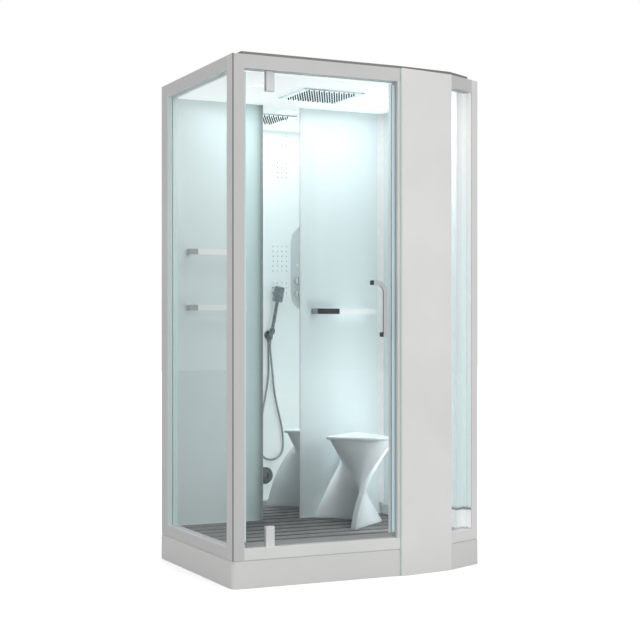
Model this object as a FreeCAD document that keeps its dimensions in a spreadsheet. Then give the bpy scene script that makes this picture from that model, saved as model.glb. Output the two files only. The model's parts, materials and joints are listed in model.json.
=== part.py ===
import FreeCAD, Part
import math
import os
import Sketcher

# Shower cabin with a pivot door, a hydro column, a mirror wall, a slatted deck and a loose stool.
# Places are plan places: x to the right and y to the back from the front left outer corner of the
# frame, z up from the floor. Every sub-part's Placement moves them to the part's own frame, whose
# origin is the bottom centre of the bounding box.

doc = FreeCAD.newDocument("ShowerCabin")
sheet = doc.addObject("Spreadsheet::Sheet", "sizes")


class Size:
    """A value together with the expression that gives it, so that a sum of sizes stays bound."""

    def __init__(self, value, text):
        self.value = float(value)
        self.text = text

    def join(self, other, sign, value):
        return Size(value, f"({self.text} {sign} {other.text})")

    def __add__(self, other):
        other = as_size(other)
        return self.join(other, "+", self.value + other.value)

    def __radd__(self, other):
        return as_size(other) + self

    def __sub__(self, other):
        other = as_size(other)
        return self.join(other, "-", self.value - other.value)

    def __rsub__(self, other):
        return as_size(other) - self

    def __mul__(self, other):
        other = as_size(other)
        return self.join(other, "*", self.value * other.value)

    def __rmul__(self, other):
        return as_size(other) * self

    def __truediv__(self, other):
        other = as_size(other)
        return self.join(other, "/", self.value / other.value)

    def __rtruediv__(self, other):
        return as_size(other) / self

    def __neg__(self):
        return Size(-self.value, f"(-1 * {self.text})")


def as_size(value):
    return value if isinstance(value, Size) else Size(value, repr(float(value)))


def root_of_squares(run, rise):
    return Size(math.hypot(run.value, rise.value), f"sqrt({run.text} ^ 2 + {rise.text} ^ 2)")


def size(name, value, note):
    """Writes one driving dimension into the sheet and gives it back as a bound size."""
    size.row += 1
    row = str(size.row)
    sheet.set("A" + row, note)
    sheet.set("B" + row, repr(float(value)))
    sheet.setAlias("B" + row, name)
    return Size(value, "sizes." + name)


size.row = 0

# Overall
width = size("width", 1224, "overall width of the frame")
depth = size("depth", 865, "front rail face to back face")
frame_top = size("frame_top", 2150, "floor to the top of the frame")
joint_gap = size("joint_gap", 0.3, "gap left between bodies that must not rub")
seam = size("seam", 1, "seam between neighbouring fixed panels")
overrun = size("overrun", 2, "how far every cut runs past its faces")

# Frame of aluminium profiles
post_wide = size("post_wide", 52, "front left post along the front")
post_deep = size("post_deep", 62, "front left post along the side")
wall_post_deep = size("wall_post_deep", 84, "back left post along the side")
rail_deep = size("rail_deep", 50, "front rails, front to back")
sill_rise = size("sill_rise", 46, "height of the bottom rails")
head_drop = size("head_drop", 56, "height of the top rails")
back_rail_deep = size("back_rail_deep", 36, "back rails, front to back")
back_sill_rise = size("back_sill_rise", 32, "height of the back bottom rail")
back_head_drop = size("back_head_drop", 46, "height of the back and right top rails")
right_sill_rise = size("right_sill_rise", 86, "height of the right bottom rail")
service_deep = size("service_deep", 110, "service space from the right wall to the outer right side")
profile_wall = size("profile_wall", 2.5, "wall of the frame profiles")
groove_deep = size("groove_deep", 9, "depth of the glazing grooves")
right_groove_in = size("right_groove_in", 10, "right wall groove from the inner face")
corner_front = size("corner_front", 32, "how far back the angled section starts")
corner_back = size("corner_back", 120, "how far back the angled section ends")
corner_post_wide = size("corner_post_wide", 48, "front right post along the angled section")
corner_post_deep = size("corner_post_deep", 70, "front right post along the right side")
post_round = size("post_round", 3, "rounding of the posts' outer edges")

# Glass and wall panels
glass_thick = size("glass_thick", 6, "glass and wall panels")
glass_slack = size("glass_slack", 0.3, "gap each side of a pane in its groove")
mirror_in = size("mirror_in", 489, "left edge of the mirror from the left side")
mirror_wide = size("mirror_wide", 199, "width of the mirror")
strip_wide = size("strip_wide", 8, "profile between two wall panels")
strip_proud = size("strip_proud", 3, "how far that profile stands proud of the panels")
corner_trim = size("corner_trim", 22, "trim in the back right corner")

# Tray
tray_rise = size("tray_rise", 114, "floor to the top of the tray rim")
tray_skin = size("tray_skin", 5, "wall of the tray")
tray_floor_height = size("tray_floor_height", 90, "floor to the tray's own floor")
ledge_top = size("ledge_top", 150, "floor to the top of the front ledge")
ledge_back = size("ledge_back", 155, "how far back the front ledge reaches")
tray_round = size("tray_round", 24, "rounding of the tray's outer corners")
rebate_tall = size("rebate_tall", 4, "height of the shadow groove under the frame")
rebate_in = size("rebate_in", 4, "depth of the shadow groove under the frame")
drain_in = size("drain_in", 330, "drain from the left side")
drain_back = size("drain_back", 225, "drain from the back")
drain_radius = size("drain_radius", 45, "radius of the drain hole")
waste_flange = size("waste_flange", 52, "radius of the waste's flanges")
waste_drop = size("waste_drop", 70, "waste body under the tray floor")
waste_pipe = size("waste_pipe", 21.5, "radius of the waste pipe")
spigot_radius = size("spigot_radius", 20, "radius of the waste pipe's end")
spigot_long = size("spigot_long", 60, "length of the waste pipe's end")
waste_pipe_up = size("waste_pipe_up", 38, "floor to the axis of the waste pipe")
cover_thick = size("cover_thick", 4, "drain cover")
foot_radius = size("foot_radius", 24, "pad of a levelling foot")
foot_pad = size("foot_pad", 12, "height of a levelling foot's pad")
stud_radius = size("stud_radius", 5, "stud of a levelling foot")
tube_side = size("tube_side", 25, "square tube of the support frame")
tube_distance = size("tube_distance", 90, "support frame from the tray's sides")

# Deck
deck_gap = size("deck_gap", 2, "gap round the lift-out deck")
slat_thick = size("slat_thick", 18, "thickness of the slats")
slat_slot = size("slat_slot", 24, "slot between two slats")
bearer_wide = size("bearer_wide", 40, "width of the deck's bearers")

# Roof
cap_rise = size("cap_rise", 15, "roof cap above the frame")
cap_left = size("cap_left", 46, "roof cap in from the left side")
cap_front = size("cap_front", 20, "roof cap in from the front and the back")
cap_right = size("cap_right", 55, "roof cap in from the right side")
cap_rim = size("cap_rim", 36, "width of the roof cap's rim")
cap_skin = size("cap_skin", 4, "skin of the roof cap")
ceiling_thick = size("ceiling_thick", 4, "ceiling panel")

# Hydro column
column_in = size("column_in", 189, "right side of the column in from the right side")
column_wide = size("column_wide", 267, "width of the column")
column_proud = size("column_proud", 15, "how far its left edge stands before the front rail")
column_turn = size("column_turn", 43, "how far its face runs back from left to right")
column_back = size("column_back", 112, "its inner face from the front")
column_skin = size("column_skin", 2.5, "sheet of the column's cover")
column_gap = size("column_gap", 1.5, "shadow gap each side of the column")
column_panel = size("column_panel", 6, "inner panel of the column")
column_round = size("column_round", 1, "rounding of the column's front edges")

# Door
jamb_wide = size("jamb_wide", 14, "jamb profile beside the column")
door_y = size("door_y", 26, "middle of the door glass from the front")
door_seal = size("door_seal", 7, "edge seal of the door")
door_slack = size("door_slack", 1.5, "gap from the edge seals to the frame")
pivot_in = size("pivot_in", 112, "pivot axis from the door's left edge")
door_gap = size("door_gap", 12, "gap over and under the door glass")
clamp_wide = size("clamp_wide", 38, "width of a pivot clamp")
clamp_tall = size("clamp_tall", 82, "height of a pivot clamp")
clamp_deep = size("clamp_deep", 24, "thickness of a pivot clamp")
clamp_edge = size("clamp_edge", 2, "chamfer of a pivot clamp")
pin_radius = size("pin_radius", 5, "radius of a pivot pin")
pin_fit = size("pin_fit", 0.05, "running clearance of a pivot pin or spindle")
pin_reach = size("pin_reach", 9, "pivot pin inside the clamp")
pin_root = size("pin_root", 14, "pivot pin inside the rail")
drip_tall = size("drip_tall", 9, "wiper under the door glass")
seal_thick = size("seal_thick", 9, "thickness of the door's seals")

# Door handle
handle_in = size("handle_in", 54, "upright of the handle from the door's right edge")
handle_low = size("handle_low", 1012, "lower end of the handle")
handle_high = size("handle_high", 1250, "upper end of the handle")
handle_arm = size("handle_arm", 46, "upper fixing to the left of the upright")
handle_wide = size("handle_wide", 20, "width of the flat bar")
handle_thick = size("handle_thick", 7, "thickness of the flat bar")
handle_off = size("handle_off", 27, "clear space between the bar and the glass")
handle_bend = size("handle_bend", 44, "inner radius of the handle's bend")
boss_side = size("boss_side", 20, "square boss of the handle")
handle_stud = size("handle_stud", 4, "radius of the handle's studs")
stud_hole = size("stud_hole", 4.5, "radius of their holes in the glass")
stud_in = size("stud_in", 4, "stud inside an inner cap")
cap_radius = size("cap_radius", 9, "radius of the handle's inner caps")
cap_thick = size("cap_thick", 6, "thickness of the handle's inner caps")

# Rain head and ceiling fittings
rain_right = size("rain_right", 10, "rain head to the right of the middle")
rain_back = size("rain_back", 384, "rain head from the back")
rain_side = size("rain_side", 300, "side of the rain head")
rain_thick = size("rain_thick", 8, "thickness of the rain head")
rain_edge = size("rain_edge", 5, "bevel of the rain head")
rain_field = size("rain_field", 252, "side of the rain head's nozzle field")
rain_neck = size("rain_neck", 10, "radius of the rain head's inlet")
nozzle_radius = size("nozzle_radius", 3.2, "radius of a rain nozzle")
nozzle_long = size("nozzle_long", 3, "length of a rain nozzle")
light_in = size("light_in", 300, "ceiling light from the left side")
light_back = size("light_back", 445, "ceiling light from the back")
light_radius = size("light_radius", 60, "radius of the ceiling light")
light_drop = size("light_drop", 6, "ceiling light below the ceiling")
light_can = size("light_can", 34, "housing of the ceiling light above the ceiling")
vent_right = size("vent_right", 64, "fan grille to the right of the middle")
vent_back = size("vent_back", 159, "fan grille from the back")
vent_side = size("vent_side", 84, "side of the fan grille")
vent_drop = size("vent_drop", 4, "fan grille below the ceiling")
vent_slot = size("vent_slot", 5, "width of the fan grille's slots")
vent_box = size("vent_box", 44, "fan box above the ceiling")

# Fittings on the column's inner panel
jet_radius = size("jet_radius", 4, "radius of a body jet")
jet_long = size("jet_long", 4, "how far a body jet stands out")
jet_pitch = size("jet_pitch", 26, "distance between body jets")
manifold_deep = size("manifold_deep", 22, "water box behind the body jets")
manifold_pipe = size("manifold_pipe", 9, "radius of the pipe between the water boxes")
fascia_in = size("fascia_in", 4, "control fascia in from the column's right side")
fascia_wide = size("fascia_wide", 64, "width of the control fascia")
fascia_foot = size("fascia_foot", 1151, "floor to the lower tip of the control fascia")
fascia_tall = size("fascia_tall", 453, "height of the control fascia")
fascia_bow = size("fascia_bow", 92, "height of the fascia's rounded ends")
fascia_thick = size("fascia_thick", 10, "thickness of the control fascia")
screen_wide = size("screen_wide", 34, "width of the screen")
screen_tall = size("screen_tall", 70, "height of the screen")
screen_height = size("screen_height", 1480, "middle of the screen")
screen_deep = size("screen_deep", 2, "recess of the screen")
knob_in = size("knob_in", 35, "knobs and button from the fascia's left edge")
lower_knob_up = size("lower_knob_up", 1238, "height of the temperature knob")
knobs_apart = size("knobs_apart", 70, "diverter knob above the temperature knob")
knob_radius = size("knob_radius", 20, "radius of a knob")
knob_long = size("knob_long", 26, "length of a knob")
knob_rib = size("knob_rib", 5, "width of the knob's finger bar")
knob_rib_high = size("knob_rib_high", 5, "height of the knob's finger bar")
spindle_radius = size("spindle_radius", 4, "radius of the valve spindles")
spindle_in = size("spindle_in", 14, "valve spindle inside a knob")
button_radius = size("button_radius", 7, "radius of a button")
button_proud = size("button_proud", 2, "how far a button stands out")
button_deep = size("button_deep", 7, "depth of a button's pocket")
button_height = size("button_height", 1390, "height of the steam button")
valve_radius = size("valve_radius", 18, "radius of the mixer valve")
valve_past = size("valve_past", 34, "mixer valve past its two spindles")
valve_behind = size("valve_behind", 20, "axis of the mixer valve behind the inner panel")
pipe_radius = size("pipe_radius", 8, "radius of the water pipes")
pipe_bend = size("pipe_bend", 30, "bend radius of the water pipes")
pipe_up = size("pipe_up", 46, "height of the water pipes under the tray")
pipes_apart = size("pipes_apart", 22, "distance between the hot and the cold pipe at the valve")
inlets_apart = size("inlets_apart", 60, "distance between the two inlets")
jog_back = size("jog_back", 565, "where the hot pipe steps over, from the back")
inlet_radius = size("inlet_radius", 10.5, "radius of an inlet's half inch thread")
inlet_long = size("inlet_long", 24, "length of an inlet's thread")
inlet_end = size("inlet_end", 6, "inlets in from the back face")
roof_pipe_up = size("roof_pipe_up", 24, "rain pipe above the ceiling")
steam_in = size("steam_in", 48, "steam outlet from the column's left side")
steam_height = size("steam_height", 277, "height of the steam outlet")
steam_radius = size("steam_radius", 45, "radius of the steam outlet")
steam_out = size("steam_out", 16, "how far the steam outlet stands out")
steam_mouth = size("steam_mouth", 17, "radius of the steam outlet's mouth")
steam_pipe = size("steam_pipe", 11, "radius of the steam pipe")
boiler_in = size("boiler_in", 16, "steam generator in from the column's left side")
boiler_wide = size("boiler_wide", 176, "width of the steam generator")
boiler_deep = size("boiler_deep", 78, "steam generator, front to back")
boiler_low = size("boiler_low", 170, "underside of the steam generator")
boiler_tall = size("boiler_tall", 230, "height of the steam generator")
boiler_round = size("boiler_round", 10, "rounding of the steam generator")

# Hand shower and its hose
holder_in = size("holder_in", 74, "hand shower holder from the column's left side")
holder_height = size("holder_height", 1036, "height of the hand shower holder")
holder_off = size("holder_off", 38, "holder's socket in front of the inner panel")
holder_tilt = size("holder_tilt", 10.7, "tilt of the hand shower in degrees")
socket_radius = size("socket_radius", 15, "outer radius of the holder's socket")
socket_tall = size("socket_tall", 20, "height of the holder's socket")
rose_radius = size("rose_radius", 23, "wall plate of the holder")
rose_thick = size("rose_thick", 6, "thickness of the holder's wall plate")
arm_radius = size("arm_radius", 8, "arm of the holder")
stem_radius = size("stem_radius", 9, "radius of the hand shower's handle")
stem_down = size("stem_down", 40, "handle below the socket's middle")
stem_up = size("stem_up", 160, "handle above the socket's middle")
collar_radius = size("collar_radius", 13, "collar that rests on the socket")
collar_tall = size("collar_tall", 6, "height of that collar")
spray_wide = size("spray_wide", 50, "width of the spray head")
spray_tall = size("spray_tall", 80, "height of the spray head")
spray_deep = size("spray_deep", 20, "thickness of the spray head")
outlet_in = size("outlet_in", 62, "hose outlet from the column's left side")
outlet_off = size("outlet_off", 16, "hose outlet in front of the inner panel")
outlet_height = size("outlet_height", 985, "lower end of the hose outlet")
outlet_tall = size("outlet_tall", 30, "height of the hose outlet")
outlet_radius = size("outlet_radius", 9, "radius of the hose outlet")
hose_radius = size("hose_radius", 6, "radius of the shower hose")

# Towel bars
bar_tall = size("bar_tall", 26, "height of a towel bar")
bar_thick = size("bar_thick", 10, "thickness of a towel bar")
bar_off = size("bar_off", 40, "clear space behind a towel bar")
bar_mount_width = size("bar_mount_width", 14, "width of a towel bar's mount")
left_bar_in = size("left_bar_in", 119, "left end of the left bars from the left side")
left_bar_long = size("left_bar_long", 270, "length of the left bars")
upper_bar_height = size("upper_bar_height", 1400, "height of the upper left bar")
lower_bar_height = size("lower_bar_height", 1144, "height of the lower left bar")
right_bar_in = size("right_bar_in", 57, "left end of the right bar from the mirror")
right_bar_out = size("right_bar_out", 62, "right end of the right bar from the right wall")
right_bar_height = size("right_bar_height", 1132, "height of the right bar")

# Stool
stool_in = size("stool_in", 262, "middle of the stool from the right wall")
stool_back = size("stool_back", 267, "middle of the stool from the back")
stool_tall = size("stool_tall", 400, "height of the stool")
stool_side = size("stool_side", 365, "length of the seat's and base's two equal sides")
stool_wall = size("stool_wall", 24, "thickness of the stool's folded sheet, level")
seat_thick = size("seat_thick", 14, "thickness of the seat")
seat_swell = size("seat_swell", 16, "how far the seat's edges curve out")
seat_inset = size("seat_inset", 25, "folded sheet in from the seat's corners")
edge_bow = size("edge_bow", 45, "how far the stool's front edge bows to the left")

doc.recompute()

# Places that follow from the sizes
centre_x = width / 2
centre_y = (depth - column_proud) / 2
column_right = width - column_in
column_left = column_right - column_wide
column_right_front = column_turn - column_proud
right_wall = width - service_deep
corner_left = column_right + column_gap
corner_run = width - corner_left
corner_rise = corner_back - corner_front
corner_length = root_of_squares(corner_run, corner_rise)
along_x = corner_run / corner_length
along_y = corner_rise / corner_length
front_end = column_left - column_gap
sill_top = tray_rise + sill_rise
head_low = frame_top - head_drop
back_head_low = frame_top - back_head_drop
back_sill_top = tray_rise + back_sill_rise
right_sill_top = tray_rise + right_sill_rise
back_inner = depth - back_rail_deep
back_right = right_wall + right_groove_in
panel_face = back_inner + (back_rail_deep - glass_thick) / 2
groove_wide = glass_thick + 2 * glass_slack
corner_post_back = corner_back + corner_post_deep
pane_bottom = sill_top + door_gap
pane_top = head_low - door_gap
door_left = post_wide + door_slack + door_seal
door_right = front_end - jamb_wide - door_slack - door_seal
handle_x = door_right - handle_in
pivot_x = door_left + pivot_in
door_face = door_y - glass_thick / 2
handle_spots = ((handle_x, handle_low + handle_wide / 2),
                (handle_x - handle_arm, handle_high - handle_wide / 2))
deck_bottom = tray_floor_height
panel_in = column_back - column_panel
ceiling_over = back_head_low
ceiling_up = ceiling_over - ceiling_thick
mirror_right = mirror_in + mirror_wide
rain_x = centre_x + rain_right
rain_y = depth - rain_back
light_y = depth - light_back
vent_x = centre_x + vent_right
vent_y = depth - vent_back
drain_y = depth - drain_back
fascia_right = column_right - fascia_in
fascia_left = fascia_right - fascia_wide
fascia_top = fascia_foot + fascia_tall
knob_x = fascia_left + knob_in
valve_y = panel_in - valve_behind
upper_knob_up = lower_knob_up + knobs_apart
valve_low = lower_knob_up - valve_past
valve_high = upper_knob_up + valve_past
holder_x = column_left + holder_in
outlet_x = column_left + outlet_in
steam_x = column_left + steam_in
right_bar_x = mirror_right + right_bar_in
right_bar_long = back_right - right_bar_out - right_bar_x
stool_x = right_wall - stool_in
stool_y = depth - stool_back


def corner_point(run, inward):
    """A plan point at this run along the angled section and this far inward from its face."""
    return corner_left + along_x * run - along_y * inward, corner_front + along_y * run + along_x * inward


def corner_inner_y(x, inward):
    """Where the line this far inward from the angled section's face crosses a given x."""
    return corner_front + (x - corner_left) * along_y / along_x + inward / along_x


parts = {}


def keep(obj, label):
    """Registers an object of the document as the sub-part of this name."""
    obj.Label = label
    parts[label] = obj
    return obj


def bind(obj, prop, value):
    """Sets a property from a size and binds it to the sheet."""
    value = as_size(value)
    obj.setExpression(prop, value.text)


def place(obj, x=0, y=0, z=0, angle=None):
    """Puts an object at a plan place, turned about the upright."""
    obj.Placement = FreeCAD.Placement(FreeCAD.Vector(), FreeCAD.Rotation(FreeCAD.Vector(0, 0, 1), 0))
    bind(obj, "Placement.Base.x", as_size(x) - centre_x)
    bind(obj, "Placement.Base.y", as_size(y) - centre_y)
    bind(obj, "Placement.Base.z", as_size(z))
    if angle is not None:
        bind(obj, "Placement.Rotation.Angle", angle)
    return obj


def new_body(label, x=0, y=0, z=0, angle=None):
    body = doc.addObject("PartDesign::Body", label)
    place(body, x, y, z, angle)
    return keep(body, label)


def origin_plane(body, role):
    return next(o for o in body.Origin.OriginFeatures if o.Role == role)


def new_sketch(body, role, offset=None):
    sketch = body.newObject("Sketcher::SketchObject", body.Name + "_sketch")
    sketch.AttachmentSupport = [(origin_plane(body, role), "")]
    sketch.MapMode = "FlatFace"
    if offset is not None:
        bind(sketch, "AttachmentOffset.Base.z", offset)
    return sketch


def draw_loop(sketch, loop):
    """Draws one closed outline whose corners are all bound to the sheet."""
    points = [(as_size(u), as_size(v)) for u, v in loop]
    first = sketch.GeometryCount
    count = len(points)
    spots = [FreeCAD.Vector(u.value, v.value, 0) for u, v in points]
    sketch.addGeometry([Part.LineSegment(spots[i], spots[(i + 1) % count]) for i in range(count)])
    rules = [Sketcher.Constraint("Coincident", first + i, 2, first + (i + 1) % count, 1)
             for i in range(count)]
    for i, (u, v) in enumerate(points):
        rules.append(Sketcher.Constraint("DistanceX", -1, 1, first + i, 1, u.value))
        rules.append(Sketcher.Constraint("DistanceY", -1, 1, first + i, 1, v.value))
    start = sketch.ConstraintCount
    sketch.addConstraint(rules)
    for i, (u, v) in enumerate(points):
        sketch.setExpression(f"Constraints[{start + count + 2 * i}]", u.text)
        sketch.setExpression(f"Constraints[{start + count + 2 * i + 1}]", v.text)


def draw_circle(sketch, u, v, radius):
    u, v, radius = as_size(u), as_size(v), as_size(radius)
    spot = FreeCAD.Vector(u.value, v.value, 0)
    index = sketch.addGeometry(Part.Circle(spot, FreeCAD.Vector(0, 0, 1), radius.value))
    start = sketch.ConstraintCount
    sketch.addConstraint([Sketcher.Constraint("DistanceX", -1, 1, index, 3, u.value),
                          Sketcher.Constraint("DistanceY", -1, 1, index, 3, v.value),
                          Sketcher.Constraint("Radius", index, radius.value)])
    for i, value in enumerate((u, v, radius)):
        sketch.setExpression(f"Constraints[{start + i}]", value.text)


def pad(body, role, loops, length, offset=None, reverse=False):
    """Pads outlines drawn on one of the body's origin planes."""
    sketch = new_sketch(body, role, offset)
    for loop in loops:
        draw_loop(sketch, loop)
    feature = body.newObject("PartDesign::Pad", body.Name + "_pad")
    feature.Profile = sketch
    feature.Reversed = reverse
    bind(feature, "Length", length)
    return feature


def pocket(body, role, loops, length, offset=None, reverse=False, circles=()):
    """Cuts outlines and circles drawn on one of the body's origin planes."""
    sketch = new_sketch(body, role, offset)
    for loop in loops:
        draw_loop(sketch, loop)
    for circle in circles:
        draw_circle(sketch, *circle)
    feature = body.newObject("PartDesign::Pocket", body.Name + "_pocket")
    feature.Profile = sketch
    feature.Reversed = reverse
    bind(feature, "Length", length)
    return feature


def rectangle(left, low, right, high):
    return [(left, low), (right, low), (right, high), (left, high)]


def edges_where(shape, test):
    """Names of the edges whose two ends pass a test."""
    names = []
    for number, edge in enumerate(shape.Edges, 1):
        ends = [vertex.Point for vertex in edge.Vertexes]
        if len(ends) == 2 and test(*ends):
            names.append(f"Edge{number}")
    return names


def upright(a, b):
    return abs(a.x - b.x) + abs(a.y - b.y) < 1e-6


def near_plan(point, x, y, slack=0.01):
    return abs(point.x - as_size(x).value) < slack and abs(point.y - as_size(y).value) < slack


def round_edges(body, kind, radius, test):
    """Fillets or chamfers the edges of a body, in the body's own frame, that pass a test."""
    doc.recompute()
    base = body.Tip
    names = edges_where(base.Shape, test)
    if not names:
        raise ValueError("no edge to round on " + body.Label)
    feature = body.newObject("PartDesign::" + kind, body.Name + "_" + kind.lower())
    feature.Base = (base, names)
    bind(feature, "Radius" if kind == "Fillet" else "Size", radius)
    return feature


def box(label, at, dims, angle=None):
    """A block with its low corner at a plan place."""
    obj = doc.addObject("Part::Box", label)
    for prop, value in zip(("Length", "Width", "Height"), dims):
        bind(obj, prop, value)
    place(obj, *at, angle)
    return obj


def rod(label, at, radius, height, axis="z", sides=None):
    """A cylinder, or a prism with some sides, from a plan place along an axis."""
    if sides is None:
        obj = doc.addObject("Part::Cylinder", label)
        bind(obj, "Radius", radius)
    else:
        obj = doc.addObject("Part::Prism", label)
        obj.Polygon = sides
        bind(obj, "Circumradius", radius)
    bind(obj, "Height", height)
    turns = {"z": (FreeCAD.Vector(0, 0, 1), 0), "y": (FreeCAD.Vector(1, 0, 0), -90),
             "x": (FreeCAD.Vector(0, 1, 0), 90)}
    obj.Placement = FreeCAD.Placement(FreeCAD.Vector(), FreeCAD.Rotation(*turns[axis]))
    for prop, value in zip("xyz", (as_size(at[0]) - centre_x, as_size(at[1]) - centre_y, at[2])):
        bind(obj, "Placement.Base." + prop, value)
    return obj


def fuse(label, *objects):
    obj = doc.addObject("Part::MultiFuse", label)
    obj.Shapes = list(objects)
    obj.Refine = True
    return obj


def cut(label, base, *tools):
    obj = doc.addObject("Part::Cut", label)
    obj.Base = base
    obj.Tool = tools[0] if len(tools) == 1 else fuse(label + "_tools", *tools)
    return obj


def group(label, objects):
    """Separate identical solids kept in one sub-part."""
    obj = doc.addObject("Part::Compound", label)
    obj.Links = list(objects)
    return keep(obj, label)


def feature(label, shape):
    """A shape in plan places, moved to the part's own frame by its Placement."""
    obj = doc.addObject("Part::Feature", label)
    obj.Shape = shape
    return place(obj)


def vector(x, y, z):
    return FreeCAD.Vector(as_size(x).value, as_size(y).value, as_size(z).value)


def tube_section(across, tall):
    """Section of a plain hollow profile."""
    return [rectangle(0, 0, across, tall),
            rectangle(profile_wall, profile_wall, across - profile_wall, tall - profile_wall)]


def channel(across, tall, groove_at, groove_up=True):
    """Section of a hollow profile with a glazing groove in one of its narrow sides."""
    low, high = groove_at - groove_wide / 2, groove_at + groove_wide / 2
    inner = tall - groove_deep
    outline = [(0, 0), (across, 0), (across, tall), (high, tall), (high, inner), (low, inner),
               (low, tall), (0, tall)]
    hollow = rectangle(profile_wall, profile_wall, across - profile_wall, inner - profile_wall)
    if groove_up:
        return [outline, hollow]
    return [[(u, tall - v) for u, v in loop] for loop in (outline, hollow)]


def rail(label, start, angle, length, across, tall, groove_at=None, groove_up=True):
    """A rail that runs from its start, with the cabin on the left of its run."""
    body = new_body(label, *start, angle)
    section = tube_section(across, tall)
    if groove_at is not None:
        section = channel(across, tall, groove_at, groove_up)
    pad(body, "YZ_Plane", section, length)
    return body


def post(label, x, y, loops, rounded):
    """A post on the tray, with its listed plan corners rounded."""
    body = new_body(label, x, y, tray_rise)
    pad(body, "XY_Plane", loops, frame_top - tray_rise)
    round_edges(body, "Fillet", post_round,
                lambda a, b: upright(a, b) and any(near_plan(a, *spot) for spot in rounded))
    return body


def make_posts():
    middle = post_wide / 2
    post("post_front_left", 0, 0, channel(post_wide, post_deep, middle), [(0, 0)])
    post("post_back_left", 0, depth - wall_post_deep,
         channel(post_wide, wall_post_deep, middle, False), [(0, wall_post_deep)])
    wide = width - back_right
    post("post_back_right", back_right, back_inner, tube_section(wide, back_rail_deep),
         [(wide, back_rail_deep)])
    run = corner_length - corner_post_wide
    outline = [corner_point(run, 0), (width, corner_back), (width, corner_post_back),
               (right_wall, corner_post_back), (right_wall, corner_inner_y(right_wall, rail_deep)),
               corner_point(run, rail_deep)]
    wall = 3 * profile_wall
    hollow = [corner_point(run + wall, wall), (width - wall, corner_back + wall),
              (width - wall, corner_post_back - wall), (right_wall + wall, corner_post_back - wall),
              (right_wall + wall, corner_inner_y(right_wall, rail_deep) + wall),
              corner_point(run + wall, rail_deep)]
    post("post_front_right", 0, 0, [outline, hollow], [(width, corner_back), (width, corner_post_back)])


def make_straight_rails():
    side = depth - wall_post_deep - post_deep
    half = post_wide / 2
    back_half = back_rail_deep / 2
    left_start = (0, depth - wall_post_deep)
    front_long = front_end - post_wide
    right_long = back_inner - corner_post_back
    back_long = back_right - post_wide
    rail("sill_left", (*left_start, tray_rise), -90, side, post_wide, sill_rise, half, True)
    rail("head_left", (*left_start, head_low), -90, side, post_wide, head_drop, half, False)
    hole = [(pivot_x - post_wide, door_y, pin_radius)]
    sill = rail("sill_front", (post_wide, 0, tray_rise), 0, front_long, rail_deep, sill_rise)
    pocket(sill, "XY_Plane", [], 2 * overrun + profile_wall, sill_rise + overrun, circles=hole)
    head = rail("head_front", (post_wide, 0, head_low), 0, front_long, rail_deep, head_drop)
    pocket(head, "XY_Plane", [], 2 * overrun + profile_wall, -overrun, True, circles=hole)
    groove = service_deep - right_groove_in - glass_thick / 2
    right_start = (width, corner_post_back)
    rail("sill_right", (*right_start, tray_rise), 90, right_long, service_deep, right_sill_rise,
         groove, True)
    rail("head_right", (*right_start, back_head_low), 90, right_long, service_deep, back_head_drop,
         groove, False)
    rail("sill_back", (back_right, depth, tray_rise), 180, back_long, back_rail_deep,
         back_sill_rise, back_half, True)
    rail("head_back", (back_right, depth, back_head_low), 180, back_long, back_rail_deep,
         back_head_drop, back_half, False)


def corner_strip(near, far, start, end):
    """Plan outline between two lines inward of the angled section, square to it at the far end."""
    return [(start, corner_inner_y(start, near)), corner_point(end, near), corner_point(end, far),
            (start, corner_inner_y(start, far))]


def make_corner_rails():
    end = corner_length - corner_post_wide
    near, far = (rail_deep - groove_wide) / 2, (rail_deep + groove_wide) / 2
    inner = corner_strip(profile_wall, rail_deep - profile_wall, corner_left + profile_wall,
                         end - profile_wall)
    groove = corner_strip(near, far, corner_left - overrun, end + overrun)
    sill = new_body("sill_corner", 0, 0, tray_rise)
    pad(sill, "XY_Plane", [corner_strip(0, rail_deep, corner_left, end)], sill_rise)
    pocket(sill, "XY_Plane", [groove], groove_deep + overrun, sill_rise + overrun)
    pocket(sill, "XY_Plane", [inner], sill_rise - groove_deep - profile_wall + overrun, -overrun, True)
    head = new_body("head_corner", 0, 0, head_low)
    pad(head, "XY_Plane", [corner_strip(0, rail_deep, corner_left, end)], head_drop)
    pocket(head, "XY_Plane", [groove], groove_deep + overrun, -overrun, True)
    pocket(head, "XY_Plane", [inner], head_drop - groove_deep - profile_wall + overrun,
           head_drop + overrun)


def make_glass():
    side_low = sill_top - groove_deep + glass_slack
    side_tall = head_low + groove_deep - glass_slack - side_low
    start = post_deep - groove_deep + glass_slack
    end = depth - wall_post_deep + groove_deep - glass_slack
    keep(box("glass_left", ((post_wide - glass_thick) / 2, start, side_low),
             (glass_thick, end - start, side_tall)), "glass_left")
    near, far = (rail_deep - glass_thick) / 2, (rail_deep + glass_thick) / 2
    pane = new_body("glass_corner", 0, 0, side_low)
    pad(pane, "XY_Plane",
        [corner_strip(near, far, corner_left + seam, corner_length - corner_post_wide - seam)],
        side_tall)
    wall_low = right_sill_top - groove_deep + glass_slack
    keep(box("right_wall_panel", (back_right, corner_post_back + seam, wall_low),
             (glass_thick, back_inner - corner_post_back - 2 * seam,
              back_head_low + groove_deep - glass_slack - wall_low)), "right_wall_panel")


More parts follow.
